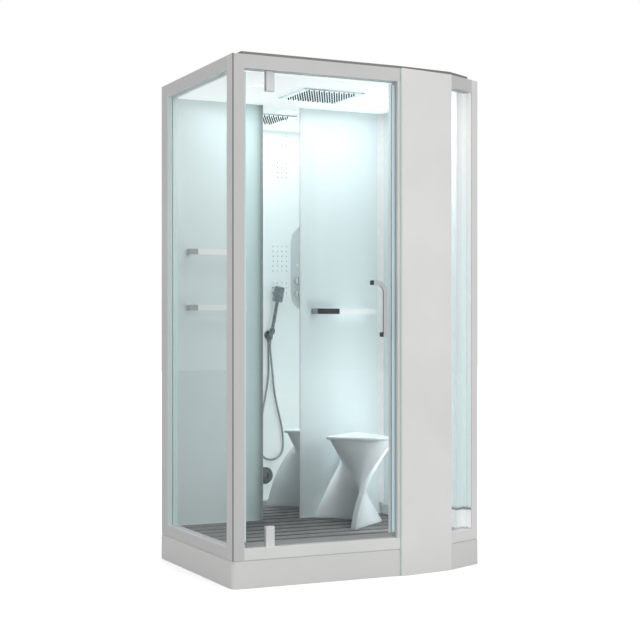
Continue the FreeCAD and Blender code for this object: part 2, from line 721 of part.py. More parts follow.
def make_back_wall():
    low = back_sill_top - groove_deep + glass_slack
    tall = back_head_low + groove_deep - glass_slack - low
    half = strip_wide / 2
    spans = {"back_panel_left": (post_wide + seam, mirror_in - half),
             "back_mirror": (mirror_in + half, mirror_right - half),
             "back_panel_right": (mirror_right + half, back_right - seam)}
    for label, (left, right) in spans.items():
        keep(box(label, (left, panel_face, low), (right - left, glass_thick, tall)), label)
    strips = [box(f"strip_{i}", (x - half, panel_face - strip_proud, back_sill_top),
                  (strip_wide, glass_thick + strip_proud, ceiling_up - back_sill_top))
              for i, x in enumerate((mirror_in, mirror_right))]
    side = new_body("corner_trim_body", 0, 0, right_sill_top)
    left, front = back_right - corner_trim, panel_face - corner_trim
    pad(side, "XY_Plane", [[(left, panel_face), (back_right, front),
                            (back_right, panel_face)]], ceiling_up - right_sill_top)
    del parts["corner_trim_body"]
    group("back_wall_strips", [*strips, side])


def make_tray():
    body = new_body("shower_tray")
    outline = [(0, 0), (front_end, 0), (front_end, column_back + column_gap),
               (corner_left, column_back + column_gap), (corner_left, corner_front),
               (width, corner_back), (width, depth), (0, depth)]
    pad(body, "XY_Plane", [outline], tray_rise)
    round_edges(body, "Fillet", tray_round, lambda a, b: upright(a, b) and near_plan(a, 0, 0))
    step = rebate_in
    inside = [(step, step), (front_end - step, step), (front_end - step, column_back + column_gap + step),
              (corner_left + step, column_back + column_gap + step),
              (corner_left + step, corner_inner_y(corner_left + step, step)),
              (width - step, corner_inner_y(width - step, step)), (width - step, depth - step),
              (step, depth - step)]
    around = rectangle(-step, -step, width + step, depth + step)
    pocket(body, "XY_Plane", [around, inside], rebate_tall + overrun, tray_rise + overrun)
    inner_y = corner_inner_y(corner_left, rail_deep)
    ledge = [(post_wide, rail_deep), (front_end, rail_deep), (front_end, column_back + column_gap),
             (corner_left, column_back + column_gap), (corner_left, inner_y),
             (right_wall, corner_inner_y(right_wall, rail_deep)), (right_wall, ledge_back),
             (post_wide, ledge_back)]
    pad(body, "XY_Plane", [ledge], ledge_top - tray_rise, tray_rise)
    bowl = rectangle(post_wide, ledge_back, right_wall, back_inner)
    pocket(body, "XY_Plane", [bowl], tray_rise - tray_floor_height + overrun, tray_rise + overrun)
    skin = tray_skin
    hollow = [(skin, tray_round), (tray_round, skin), (front_end - skin, skin), (front_end - skin, column_back + column_gap + skin),
              (corner_left + skin, column_back + column_gap + skin),
              (corner_left + skin, corner_front + 2 * skin), (width - skin, corner_back + skin),
              (width - skin, depth - skin), (skin, depth - skin)]
    pocket(body, "XY_Plane", [hollow], tray_floor_height - skin + overrun, -overrun, True)
    pocket(body, "XY_Plane", [], tray_floor_height + overrun, -overrun, True,
           [(drain_in, drain_y, drain_radius)])
    half = pipes_apart * 1.2
    cold_x = knob_x + pipes_apart / 2
    pipes = rectangle(cold_x - inlets_apart - half, pipe_up - half, cold_x + half, pipe_up + half)
    reach = waste_pipe * 1.6
    waste = rectangle(drain_in - reach, waste_pipe_up - reach, drain_in + reach, waste_pipe_up + reach)
    pocket(body, "XZ_Plane", [pipes], depth - column_back + overrun, -depth - overrun, True)
    pocket(body, "XZ_Plane", [waste], 2 * skin, -depth - overrun, True)


def make_support():
    top = tray_floor_height - tray_skin
    low = top - tube_side
    side = tube_side
    left, right = tube_distance, width - tube_distance - side
    front, back = ledge_back, depth - tube_distance - side
    tubes = [box("tube_left", (left, front, low), (side, back + side - front, side)),
             box("tube_right", (right, front, low), (side, back + side - front, side)),
             box("tube_front", (left, front, low), (right + side - left, side, side)),
             box("tube_back", (left, back, low), (right + side - left, side, side)),
             box("tube_middle", (left, (front + back) / 2, low), (right + side - left, side, side))]
    keep(fuse("support_frame", *tubes), "support_frame")
    feet = []
    spots = [(x + side / 2, y + side / 2) for x in (left, right) for y in (front, back)]
    spots.append(((left + right + side) / 2, (front + back + side) / 2))
    for number, (x, y) in enumerate(spots):
        pad_part = rod(f"foot_pad_{number}", (x, y, 0), foot_radius, foot_pad, sides=12)
        stud = rod(f"foot_stud_{number}", (x, y, 0), stud_radius, low, sides=6)
        feet.append(fuse(f"foot_{number}", pad_part, stud))
    group("levelling_feet", feet)


def make_waste():
    under = tray_floor_height - tray_skin
    around = 16
    flange = rod("waste_under", (drain_in, drain_y, under - tray_skin), waste_flange, tray_skin,
                 sides=around)
    throat = rod("waste_throat", (drain_in, drain_y, under - waste_drop), drain_radius - seam,
                 tray_floor_height - under + waste_drop, sides=around)
    pipe = rod("waste_pipe_part", (drain_in, drain_y, waste_pipe_up), waste_pipe,
               drain_back - spigot_long, "y", around)
    spigot = rod("waste_spigot", (drain_in, drain_y, waste_pipe_up), spigot_radius, drain_back, "y")
    bowl = rod("waste_bowl", (drain_in, drain_y, waste_pipe_up), drain_radius - seam - tray_skin,
               tray_floor_height, sides=around)
    bore = rod("waste_bore", (drain_in, drain_y, waste_pipe_up), spigot_radius - profile_wall,
               depth, "y")
    body = fuse("waste_body", flange, throat, pipe, spigot)
    keep(cut("drain_waste", body, bowl, bore), "drain_waste")
    cover = rod("cover_disc", (drain_in, drain_y, tray_floor_height), waste_flange, cover_thick,
                sides=2 * around)
    slots = [box(f"cover_slot_{i}", (drain_in - waste_flange / 2, drain_y + share * waste_flange,
                                     tray_floor_height - overrun),
                 (waste_flange, vent_slot, cover_thick + 2 * overrun))
             for i, share in enumerate((-0.6, -0.35, -0.1, 0.15, 0.4))]
    keep(cut("drain_cover", cover, *slots), "drain_cover")


def make_deck():
    left, right = post_wide + deck_gap, right_wall - deck_gap
    front, back = ledge_back + deck_gap, back_inner - deck_gap
    rise = ledge_top - slat_thick
    long = right - left
    pieces = []
    count = 7
    pitch = (back - front + slat_slot) / count
    for i in range(count):
        pieces.append(box(f"slat_{i}", (left, front + i * pitch, rise),
                          (long, pitch - slat_slot, slat_thick)))
    for i in range(3):
        x = left + bearer_wide + i * (long - 3 * bearer_wide) / 2
        pieces.append(box(f"bearer_{i}", (x, front, deck_bottom),
                          (bearer_wide, back - front, rise - deck_bottom + slat_thick / 3)))
    keep(fuse("floor_deck", *pieces), "floor_deck")


def make_roof():
    body = new_body("roof_cap", 0, 0, frame_top)

    def outline(more):
        left, edge, right = cap_left + more, cap_front + more, width - cap_right - more
        return [(left, edge), (column_left, edge), (column_right, column_turn + more),
                (right, corner_inner_y(right, edge)), (right, depth - edge), (left, depth - edge)]

    pad(body, "XY_Plane", [outline(0)], cap_rise)
    pocket(body, "XY_Plane", [outline(cap_rim)], cap_rise - cap_skin + overrun, -overrun, True)
    panel = new_body("ceiling_panel", 0, 0, ceiling_up)
    inner_y = corner_inner_y(corner_left, rail_deep)
    wall = back_right
    plan = [(post_wide, rail_deep), (front_end, rail_deep), (front_end, column_back),
            (corner_left, column_back), (corner_left, inner_y),
            (right_wall, corner_inner_y(right_wall, rail_deep)), (right_wall, corner_post_back),
            (wall, corner_post_back), (wall, panel_face), (post_wide, panel_face)]
    pad(panel, "XY_Plane", [plan], ceiling_thick)
    half = vent_side / 2 - vent_slot
    pocket(panel, "XY_Plane",
           [rectangle(vent_x - half, vent_y - half, vent_x + half, vent_y + half)],
           ceiling_thick + 2 * overrun, ceiling_thick + overrun,
           circles=[(rain_x, rain_y, rain_neck + joint_gap),
                    (light_in, light_y, light_radius - tray_skin)])


def make_column():
    body = new_body("column_cover")
    back = column_back
    face = column_turn / column_wide
    skin = column_skin
    left, right = column_left, column_right
    plan = [(left, -column_proud), (right, column_right_front), (right, back), (right - skin, back),
            (right - skin, column_right_front + skin - face * skin),
            (left + skin, skin - column_proud + face * skin), (left + skin, back), (left, back)]
    pad(body, "XY_Plane", [plan], frame_top)
    round_edges(body, "Fillet", column_round,
                lambda a, b: upright(a, b) and (near_plan(a, left, -column_proud)
                                                or near_plan(a, right, column_right_front)))
    panel = new_body("column_inner_panel", 0, 0, ledge_top)
    inner = rectangle(left + skin, panel_in, right - skin, back)
    pad(panel, "XY_Plane", [inner], ceiling_up - ledge_top)
    holes = [(knob_x, lower_knob_up - ledge_top, spindle_radius + joint_gap),
             (knob_x, upper_knob_up - ledge_top, spindle_radius + joint_gap),
             (steam_x, steam_height - ledge_top, steam_pipe + joint_gap)]
    pocket(panel, "XZ_Plane", [], column_panel + 2 * overrun, -back - overrun, True, holes)


def make_jets():
    """Fields of body jets: plan x, height, columns and rows of each field."""
    shift = jet_pitch / 2
    top = ceiling_up - jet_pitch * 2
    middle = fascia_left - 2.5 * jet_pitch
    fields = [(middle + jet_pitch, top, 2, 3), (middle + jet_pitch / 2, top - 6 * jet_pitch, 3, 4),
              (middle, fascia_top - 7 * jet_pitch, 4, 6), (middle, fascia_foot + 4.5 * jet_pitch, 4, 3)]
    jets = []
    boxes = []
    for number, (x, z, columns, rows) in enumerate(fields):
        low = z - (rows - 1) * shift
        left = x - (columns - 1) * shift
        for column in range(columns):
            for row in range(rows):
                at = (left + column * jet_pitch, column_back, low + row * jet_pitch)
                jets.append(rod(f"jet_{number}_{column}_{row}", at, jet_radius, jet_long, "y", 4))
        boxes.append(box(f"manifold_{number}", (left - shift, panel_in - manifold_deep, low - shift),
                         (columns * jet_pitch, manifold_deep, rows * jet_pitch)))
    group("body_jets", jets)
    low = fascia_foot + 4.5 * jet_pitch
    pipe = rod("manifold_riser", (middle, panel_in - manifold_deep / 2, low), manifold_pipe,
               top - low, sides=8)
    feed_start = middle + jet_pitch
    feed = rod("manifold_feed", (feed_start, valve_y, low), manifold_pipe,
               knob_x - valve_radius - manifold_pipe - feed_start, "x", 8)
    keep(fuse("jet_manifold", pipe, feed, *boxes), "jet_manifold")


def make_fascia():
    body = new_body("control_fascia", 0, column_back, 0)
    left, right, low, high = fascia_left, fascia_right, fascia_foot, fascia_top
    step = (right - left) / 3
    loop = [(right, low), (right, high), (right - step, high - fascia_bow / 8),
            (left + step / 2, high - fascia_bow / 2), (left, high - fascia_bow),
            (left, low + fascia_bow), (left + step / 2, low + fascia_bow / 2),
            (right - step, low + fascia_bow / 8)]
    pad(body, "XZ_Plane", [loop], fascia_thick, reverse=True)
    half_wide, half_tall = screen_wide / 2, screen_tall / 2
    screen = rectangle(knob_x - half_wide, screen_height - half_tall, knob_x + half_wide, screen_height + half_tall)
    pocket(body, "XZ_Plane", [screen], screen_deep + overrun, -fascia_thick - overrun, True)
    pocket(body, "XZ_Plane", [], button_deep + overrun, -fascia_thick - overrun, True,
           [(knob_x, button_height, button_radius + joint_gap)])
    spindles = [(knob_x, z, spindle_radius + joint_gap) for z in (lower_knob_up, upper_knob_up)]
    pocket(body, "XZ_Plane", [], fascia_thick + 2 * overrun, -fascia_thick - overrun, True,
           spindles)
    start = column_back + fascia_thick - button_deep + 2 * screen_deep
    keep(rod("button_steam", (knob_x, start, button_height), button_radius,
             button_deep - 2 * screen_deep + button_proud, "y", 16), "button_steam")


def make_valve():
    face = column_back + fascia_thick
    body = rod("valve_body", (knob_x, valve_y, valve_low), valve_radius, valve_high - valve_low,
               sides=12)
    spindles = [rod(f"spindle_{i}", (knob_x, valve_y, z), spindle_radius,
                    face + joint_gap + spindle_in - valve_y, "y")
                for i, z in enumerate((lower_knob_up, upper_knob_up))]
    bonnets = [rod(f"bonnet_{i}", (knob_x, valve_y, z), valve_radius - manifold_pipe,
                   panel_in - valve_y, "y", 6)
               for i, z in enumerate((lower_knob_up, upper_knob_up))]
    port_start = knob_x - valve_radius - manifold_pipe
    port = rod("valve_port", (port_start, valve_y, fascia_foot + 4.5 * jet_pitch), manifold_pipe,
               knob_x - port_start, "x", 8)
    keep(fuse("mixer_valve", body, port, *spindles, *bonnets), "mixer_valve")
    for label, z in (("temperature_knob", lower_knob_up), ("diverter_knob", upper_knob_up)):
        disc = rod(label + "_disc", (knob_x, face + joint_gap, z), knob_radius,
                   knob_long - knob_rib_high, "y", 24)
        rib = box(label + "_rib", (knob_x - knob_rib / 2, face + joint_gap, z - knob_radius * 0.9),
                  (knob_rib, knob_long, knob_radius * 1.8))
        bore = rod(label + "_bore", (knob_x, face, z), spindle_radius + pin_fit,
                   spindle_in + 2 * joint_gap + pin_fit, "y")
        keep(cut(label, fuse(label + "_solid", disc, rib), bore), label)


def tube_path(points, radii):
    """Straight runs joined by tangent arcs through a list of points."""
    spots = [vector(*point) for point in points]
    edges = []
    at = spots[0]
    for i in range(1, len(spots) - 1):
        before = (spots[i - 1] - spots[i]).normalize()
        after = (spots[i + 1] - spots[i]).normalize()
        half = before.getAngle(after) / 2
        back = radii[i - 1] / math.tan(half)
        start, end = spots[i] + before * back, spots[i] + after * back
        middle_dir = (before + after).normalize()
        middle = spots[i] + middle_dir * (radii[i - 1] / math.sin(half) - radii[i - 1])
        edges.append(Part.LineSegment(at, start).toShape())
        edges.append(Part.Arc(start, middle, end).toShape())
        at = end
    edges.append(Part.LineSegment(at, spots[-1]).toShape())
    return Part.Wire(edges)


def ring_of_sides(radius, at, towards, sides):
    """A regular outline square to a direction."""
    turn = FreeCAD.Rotation(FreeCAD.Vector(0, 0, 1), towards)
    spots = []
    for i in range(sides):
        angle = 2 * math.pi * (i + 0.5) / sides
        arm = FreeCAD.Vector(math.cos(angle), math.sin(angle), 0) * as_size(radius).value
        spots.append(at + turn.multVec(arm))
    return Part.makePolygon([*spots, spots[0]])


def prism_solid(radius, length, at, towards, sides):
    face = Part.Face(ring_of_sides(radius, at, towards, sides))
    return face.extrude(towards * as_size(length).value)


def swept_tube(points, radii, radius, sides=8):
    path = tube_path(points, radii)
    start = path.Vertexes[0].Point
    towards = path.Edges[0].tangentAt(path.Edges[0].FirstParameter)
    ring = ring_of_sides(radius, start, towards, sides)
    return path.makePipeShell([ring], True, False), path, Part.Face(ring).Area


def make_pipes():
    back = depth - inlet_end
    hot_x, cold_x = knob_x - pipes_apart / 2, knob_x + pipes_apart / 2
    bend = pipe_bend.value
    cold = [(cold_x, back, pipe_up), (cold_x, valve_y, pipe_up), (cold_x, valve_y, valve_low)]
    far_x = cold_x - inlets_apart
    jog_y = depth - jog_back
    hot = [(far_x, back, pipe_up), (far_x, jog_y, pipe_up), (hot_x, jog_y - inlets_apart, pipe_up),
           (hot_x, valve_y, pipe_up), (hot_x, valve_y, valve_low)]
    tubes = []
    for points in (cold, hot):
        solid, _, _ = swept_tube(points, [bend] * (len(points) - 2), pipe_radius, 6)
        thread = Part.makeCylinder(inlet_radius.value, inlet_long.value,
                                   vector(points[0][0], back - inlet_long, pipe_up),
                                   FreeCAD.Vector(0, 1, 0))
        tubes.append(solid.fuse(thread))
    keep(feature("water_pipes", Part.makeCompound(tubes)), "water_pipes")
    level = ceiling_over + roof_pipe_up
    points = [(knob_x, valve_y, valve_high), (knob_x, valve_y, level), (knob_x, rain_y, level),
              (rain_x, rain_y, level), (rain_x, rain_y, ceiling_over + joint_gap)]
    bends = [pipe_bend.value, pipe_bend.value, roof_pipe_up.value / 2]
    solid, _, _ = swept_tube(points, bends, pipe_radius, 6)
    keep(feature("rain_pipe", solid), "rain_pipe")


def make_rain_head():
    body = new_body("rain_head", rain_x, rain_y, ceiling_up - rain_thick)
    half = rain_side / 2
    pad(body, "XY_Plane", [rectangle(-half, -half, half, half)], rain_thick)
    round_edges(body, "Chamfer", rain_edge,
                lambda a, b: abs(a.z) + abs(b.z) < 1e-6)
    sketch = new_sketch(body, "XY_Plane", rain_thick)
    draw_circle(sketch, 0, 0, rain_neck)
    neck = body.newObject("PartDesign::Pad", "rain_neck_pad")
    neck.Profile = sketch
    bind(neck, "Length", ceiling_thick + joint_gap)
    count = 8
    pitch = rain_field / count
    nozzles = []
    for column in range(count):
        for row in range(count):
            start = (1 - count) / 2
            at = (rain_x + (start + column) * pitch, rain_y + (start + row) * pitch,
                  ceiling_up - rain_thick - nozzle_long)
            nozzles.append(rod(f"nozzle_{column}_{row}", at, nozzle_radius, nozzle_long, sides=4))
    group("rain_nozzles", nozzles)


def make_ceiling_fittings():
    lens = rod("light_lens", (light_in, light_y, ceiling_up - light_drop), light_radius, light_drop)
    can = rod("light_can_part", (light_in, light_y, ceiling_up), light_radius - 2 * tray_skin,
              light_can, sides=8)
    keep(fuse("ceiling_light", lens, can), "ceiling_light")
    side, half = vent_side, vent_side / 2
    frame = box("vent_frame", (vent_x - half, vent_y - half, ceiling_up - vent_drop),
                (side, side, vent_drop))
    inner = side - 4 * vent_slot
    can = box("vent_can", (vent_x - inner / 2, vent_y - inner / 2, ceiling_up), (inner, inner, vent_box))
    slots = [box(f"vent_slot_{i}", (vent_x - inner / 2 + (2 * i + 1) * vent_slot,
                                    vent_y - inner / 2, ceiling_up - vent_drop - overrun),
                 (vent_slot, inner, vent_drop + vent_slot + overrun)) for i in range(6)]
    keep(cut("vent_grille", fuse("vent_body", frame, can), *slots), "vent_grille")


def make_door():
    pane = box("door_pane", (door_left, door_face, pane_bottom),
               (door_right - door_left, glass_thick, pane_top - pane_bottom))
    holes = [rod(f"handle_hole_{i}", (x, door_face - overrun, z), stud_hole,
                 glass_thick + 2 * overrun, "y") for i, (x, z) in enumerate(handle_spots)]
    keep(cut("door_glass", pane, *holes), "door_glass")
    front = door_y - clamp_deep / 2
    slot_front = door_face - glass_slack
    for label, low, slot_low, slot_high, bore_low in (
            ("hinge_clamp_top", head_low - joint_gap - clamp_tall,
             head_low - joint_gap - clamp_tall - overrun, pane_top + glass_slack,
             head_low - pin_reach - joint_gap),
            ("hinge_clamp_bottom", sill_top + joint_gap, pane_bottom - glass_slack,
             sill_top + joint_gap + clamp_tall + overrun, sill_top)):
        block = box(label + "_block", (pivot_x - clamp_wide / 2, front, low),
                    (clamp_wide, clamp_deep, clamp_tall))
        chamfer = doc.addObject("Part::Chamfer", label + "_chamfer")
        chamfer.Base = block
        doc.recompute()
        names = edges_where(block.Shape, lambda a, b: upright(a, b))
        chamfer.Edges = [(int(name[4:]), clamp_edge.value, clamp_edge.value) for name in names]
        slot = box(label + "_slot", (pivot_x - clamp_wide, slot_front, slot_low),
                   (2 * clamp_wide, groove_wide, slot_high - slot_low))
        bore = rod(label + "_bore", (pivot_x, door_y, bore_low), pin_radius + pin_fit,
                   pin_reach + 2 * joint_gap)
        keep(cut(label, chamfer, slot, bore), label)
    top = rod("pin_top", (pivot_x, door_y, head_low - pin_reach + joint_gap), pin_radius,
              pin_reach + pin_root)
    bottom = rod("pin_bottom", (pivot_x, door_y, sill_top - pin_root), pin_radius,
                 pin_reach + pin_root - joint_gap)
    group("pivot_pins", [top, bottom])


def make_door_seals():
    tall = pane_top - pane_bottom
    front = door_y - seal_thick / 2
    seals = []
    reach = door_seal + overrun
    for name, start, slot_at in (("left", door_left - door_seal, door_left),
                                 ("right", door_right - door_seal, door_right - reach)):
        blade = box(f"seal_{name}", (start, front, pane_bottom), (2 * door_seal, seal_thick, tall))
        slot = box(f"seal_slot_{name}", (slot_at, door_face, pane_bottom - overrun),
                   (reach, glass_thick, tall + 2 * overrun))
        seals.append(cut(f"edge_seal_{name}", blade, slot))
    spans = ((door_left + door_seal + seam, pivot_x - clamp_wide / 2 - seam),
             (pivot_x + clamp_wide / 2 + seam, door_right - door_seal - seam))
    for number, (left, right) in enumerate(spans):
        blade = box(f"wiper_{number}", (left, front, pane_bottom - drip_tall),
                    (right - left, seal_thick, 2 * drip_tall))
        slot = box(f"wiper_slot_{number}", (left - overrun, door_face, pane_bottom),
                   (right - left + 2 * overrun, glass_thick, drip_tall + overrun))
        seals.append(cut(f"drip_{number}", blade, slot))
    group("door_seals", seals)
    jamb = new_body("jamb_profile", front_end - jamb_wide, 0, sill_top)
    pad(jamb, "XY_Plane", tube_section(jamb_wide, rail_deep), head_low - sill_top)


def make_handle():
    back = door_face - handle_off
    body = new_body("door_handle_bar", 0, back, 0)
    half = handle_wide / 2
    left = handle_x - handle_arm - half
    under = handle_high - handle_wide
    loop = [(handle_x - half, handle_low), (handle_x + half, handle_low),
            (handle_x + half, handle_high), (left, handle_high), (left, under),
            (handle_x - half, under)]
    pad(body, "XZ_Plane", [loop], handle_thick)

    def across(a, b, x, z):
        return all(abs(p.x - x.value) < 0.01 and abs(p.z - z.value) < 0.01 for p in (a, b))

    round_edges(body, "Fillet", handle_bend - handle_wide / 2,
                lambda a, b: across(a, b, handle_x - half, under))
    round_edges(body, "Fillet", handle_bend + handle_wide / 2,
                lambda a, b: across(a, b, handle_x + half, handle_high))
    del parts["door_handle_bar"]
    side = boss_side
    inner = door_y + glass_thick / 2
    solids = [body]
    caps = []
    for i, (x, z) in enumerate(handle_spots):
        solids.append(box(f"handle_boss_{i}", (x - side / 2, back, z - side / 2),
                          (side, handle_off, side)))
        solids.append(rod(f"handle_stud_{i}", (x, back, z), handle_stud,
                          handle_off + glass_thick + stud_in, "y"))
        cap = rod(f"handle_cap_{i}", (x, inner, z), cap_radius, cap_thick, "y", 16)
        bore = rod(f"handle_cap_bore_{i}", (x, inner - overrun, z), handle_stud + pin_fit,
                   overrun + stud_in + pin_fit, "y")
        caps.append(cut(f"handle_cap_part_{i}", cap, bore))
    keep(fuse("door_handle", *solids), "door_handle")
    group("handle_caps", caps)


def make_bars():
    def bar(label, x, z, long):
        face = panel_face - bar_off - bar_thick
        low = z - bar_tall / 2
        flat = box(label + "_flat", (x, face, low), (long, bar_thick, bar_tall))
        mounts = [box(f"{label}_mount_{i}", (at, face, low), (bar_mount_width, bar_off + bar_thick, bar_tall))
                  for i, at in enumerate((x, x + long - bar_mount_width))]
        return fuse(label, flat, *mounts)

    group("towel_bars_left", [bar("bar_upper", left_bar_in, upper_bar_height, left_bar_long),
                              bar("bar_lower", left_bar_in, lower_bar_height, left_bar_long)])
    keep(bar("towel_bar_right", right_bar_x, right_bar_height, right_bar_long), "towel_bar_right")


def make_steam():
    around = 24
    step = steam_out / 3
    rim = rod("steam_rim", (steam_x, column_back, steam_height), steam_radius, step, "y", around)
    nose = rod("steam_nose", (steam_x, column_back, steam_height), steam_radius * 0.75, steam_out,
               "y", around)
    port = rod("steam_port", (steam_x, panel_in, steam_height), steam_pipe, column_panel, "y",
               around)
    mouth = rod("steam_mouth_cut", (steam_x, column_back + step, steam_height), steam_mouth,
                steam_out, "y", around)
    keep(cut("steam_outlet", fuse("steam_solid", rim, nose, port), mouth), "steam_outlet")
    boiler = new_body("steam_generator", column_left + boiler_in, panel_in - boiler_deep, boiler_low)
    pad(boiler, "XY_Plane", [rectangle(0, 0, boiler_wide, boiler_deep)], boiler_tall)
    round_edges(boiler, "Fillet", boiler_round,
                lambda a, b: upright(a, b) and abs(a.y) < overrun.value)


def make_hand_shower():
    """Drawn upright about the socket's middle, then tilted with it."""
    y = column_back + holder_off
    tilt = FreeCAD.Placement(vector(holder_x, y, holder_height),
                             FreeCAD.Rotation(FreeCAD.Vector(0, 1, 0), holder_tilt.value))
    up = FreeCAD.Vector(0, 0, 1)

    def disc(radius, low, high):
        return Part.makeCylinder(radius.value, (high - low).value, vector(0, 0, low), up)

    half = socket_tall / 2
    stem = disc(stem_radius, -stem_down, stem_up)
    collar = disc(collar_radius, half, half + collar_tall)
    head = Part.makeBox(spray_wide.value, spray_deep.value, spray_tall.value,
                        vector(-spray_wide / 2, -spray_deep / 2, stem_up - joint_gap))
    head = head.makeChamfer(spray_deep.value / 5, [e for e in head.Edges if e.Length < spray_wide.value])
    shower = stem.fuse([collar, head]).removeSplitter()
    keep(feature("hand_shower", shower.transformed(tilt.toMatrix(), True)), "hand_shower")
    foot = vector(0, 0, -half)
    bore = prism_solid((stem_radius + joint_gap) / math.cos(math.pi / 16), socket_tall + 2 * overrun,
                       foot - up * overrun.value, up, 16)
    socket = prism_solid(socket_radius, socket_tall, foot, up, 16).cut(bore)
    socket = socket.transformed(tilt.toMatrix(), True)
    out = FreeCAD.Vector(0, 1, 0)
    low = outlet_height + outlet_tall / 2
    middle = vector((holder_x + outlet_x) / 2, column_back, (low + holder_height) / 2)
    rose = prism_solid(rose_radius, rose_thick, middle, out, 24)
    arm = prism_solid(arm_radius, holder_off - stem_radius - joint_gap * 2,
                      vector(holder_x, column_back, holder_height), out, 8)
    inlet = prism_solid(arm_radius, outlet_off, vector(outlet_x, column_back, low), out, 8)
    nipple = prism_solid(outlet_radius, outlet_tall,
                         vector(outlet_x, column_back + outlet_off, outlet_height), up, 12)
    holder = socket.fuse([rose, arm, inlet, nipple]).removeSplitter()
    keep(feature("hand_shower_holder", holder), "hand_shower_holder")


# The hose's route from the holder's socket, chosen by hand: from the outlet down its left strand,
# round and up to the handle.
HOSE_ROUTE = [(-12, -22, -51), (-12, -22, -111), (-9, -23, -186), (-13, -25, -271), (-43, -26, -421),
              (-61, -26, -536), (-62, -26, -636), (-22, -25.5, -676), (35, -25.5, -676), (75, -26, -636),
              (75, -26, -551), (60, -24.5, -471), (35, -22, -381), (18, -18, -301), (9, -12, -228),
              (-4, -3, -146), (-13.1, 0, -69.1), (-7.5, 0, -39.6)]
BEND_SHARE = 0.45


def make_hose():
    start = vector(holder_x, column_back + holder_off, holder_height)
    spots = [start + FreeCAD.Vector(*point) for point in HOSE_ROUTE]
    points = [tuple(spot) for spot in spots]
    radii = []
    for i in range(1, len(spots) - 1):
        before, after = spots[i - 1] - spots[i], spots[i + 1] - spots[i]
        shorter = min(before.Length, after.Length)
        turn = math.pi - before.getAngle(after)
        radii.append(BEND_SHARE * shorter / math.tan(turn / 2))
    solid, path, area = swept_tube(points, radii, hose_radius, 6)
    print("hose length", round(path.Length, 1), "radii", [round(radius) for radius in radii],
          "volume over section times length", round(solid.Volume / (area * path.Length), 4))
    keep(feature("shower_hose", solid), "shower_hose")


# Corners of the stool's seat and base from its middle, in shares of their side. The first of each is
# the corner on the fold: the sheet's two wings go from it to the two others.
SEAT_CORNER_SHARES = [(-0.405, 0.022), (0.293, -0.595), (0.356, 0.642)]
BASE_CORNER_SHARES = [(0.405, -0.022), (-0.356, -0.647), (-0.293, 0.595)]


def make_stool():
    """A sheet folded once and twisted, so that its V opens left at the floor and right at the seat."""
    low = ledge_top.value
    tall, edge = stool_tall.value, seat_thick.value
    middle = vector(stool_x, stool_y, 0)
    seat, base = [[middle + FreeCAD.Vector(x, y, 0) * stool_side.value for x, y in shares]
                  for shares in (SEAT_CORNER_SHARES, BASE_CORNER_SHARES)]
    centre = sum(seat, FreeCAD.Vector()) * (1 / 3)
    upper = [spot + (centre - spot).normalize() * seat_inset.value for spot in seat]

    def section(share):
        fold, front, back = [foot + (top - foot) * share for foot, top in zip(base, upper)]
        front = front - FreeCAD.Vector(edge_bow.value * math.sin(math.pi * share), 0, 0)
        first, second = (fold - front).normalize(), (back - fold).normalize()
        normals = [FreeCAD.Vector(-d.y, d.x, 0) for d in (first, second)]
        mitre = (normals[0] + normals[1]).normalize()
        mitre = mitre * (1 / mitre.dot(normals[0]))
        offsets = [v * (stool_wall.value / 2) for v in (normals[0], mitre, normals[1])]
        spots = [front, fold, back]
        ring = [p + v for p, v in zip(spots, offsets)]
        ring += [p - v for p, v in reversed(list(zip(spots, offsets)))]
        return [FreeCAD.Vector(p.x, p.y, low + share * (tall - edge / 2)) for p in ring]

    count = 8
    rings = [section(i / count) for i in range(count + 1)]
    faces = [Part.Face(Part.makePolygon([*ring, ring[0]])) for ring in (rings[0], rings[-1])]
    for under, over in zip(rings, rings[1:]):
        for i in range(len(under)):
            a, b = under[i - 1], under[i]
            c, d = over[i], over[i - 1]
            faces.append(Part.Face(Part.makePolygon([a, b, c, a])))
            faces.append(Part.Face(Part.makePolygon([a, c, d, a])))
    sheet = Part.Solid(Part.Shell(faces))
    level = FreeCAD.Vector(0, 0, low + tall - edge)
    arcs = []
    for i, start in enumerate(seat):
        end = seat[(i + 1) % 3]
        half = (start + end) * 0.5
        out = (half - centre).normalize() * seat_swell.value
        arcs.append(Part.Arc(start + level, half + out + level, end + level).toShape())
    top = Part.Face(Part.Wire(arcs)).extrude(FreeCAD.Vector(0, 0, edge))
    solid = sheet.fuse(top).removeSplitter()
    keep(feature("stool", solid.Solids[0]), "stool")


make_tray()
make_support()
make_waste()
make_posts()
make_straight_rails()
make_corner_rails()
make_glass()
make_back_wall()
make_deck()
make_roof()
make_column()
make_jets()
make_fascia()
make_valve()
make_pipes()
make_rain_head()
make_ceiling_fittings()
make_door()
make_door_seals()
make_handle()
make_bars()
make_steam()
make_hand_shower()
make_hose()
make_stool()

doc.recompute()
for obj in doc.Objects:
    if "Invalid" in obj.State or "Error" in obj.State:
        raise ValueError("object failed: " + obj.Label)
for label, obj in parts.items():
    if obj.Shape.isNull() or not obj.Shape.isValid():
        raise ValueError("bad shape: " + label)

os.makedirs("parts", exist_ok=True)
for label, obj in parts.items():
    obj.Shape.exportStep(f"parts/{label}.step")
print(len(parts), "sub-parts")
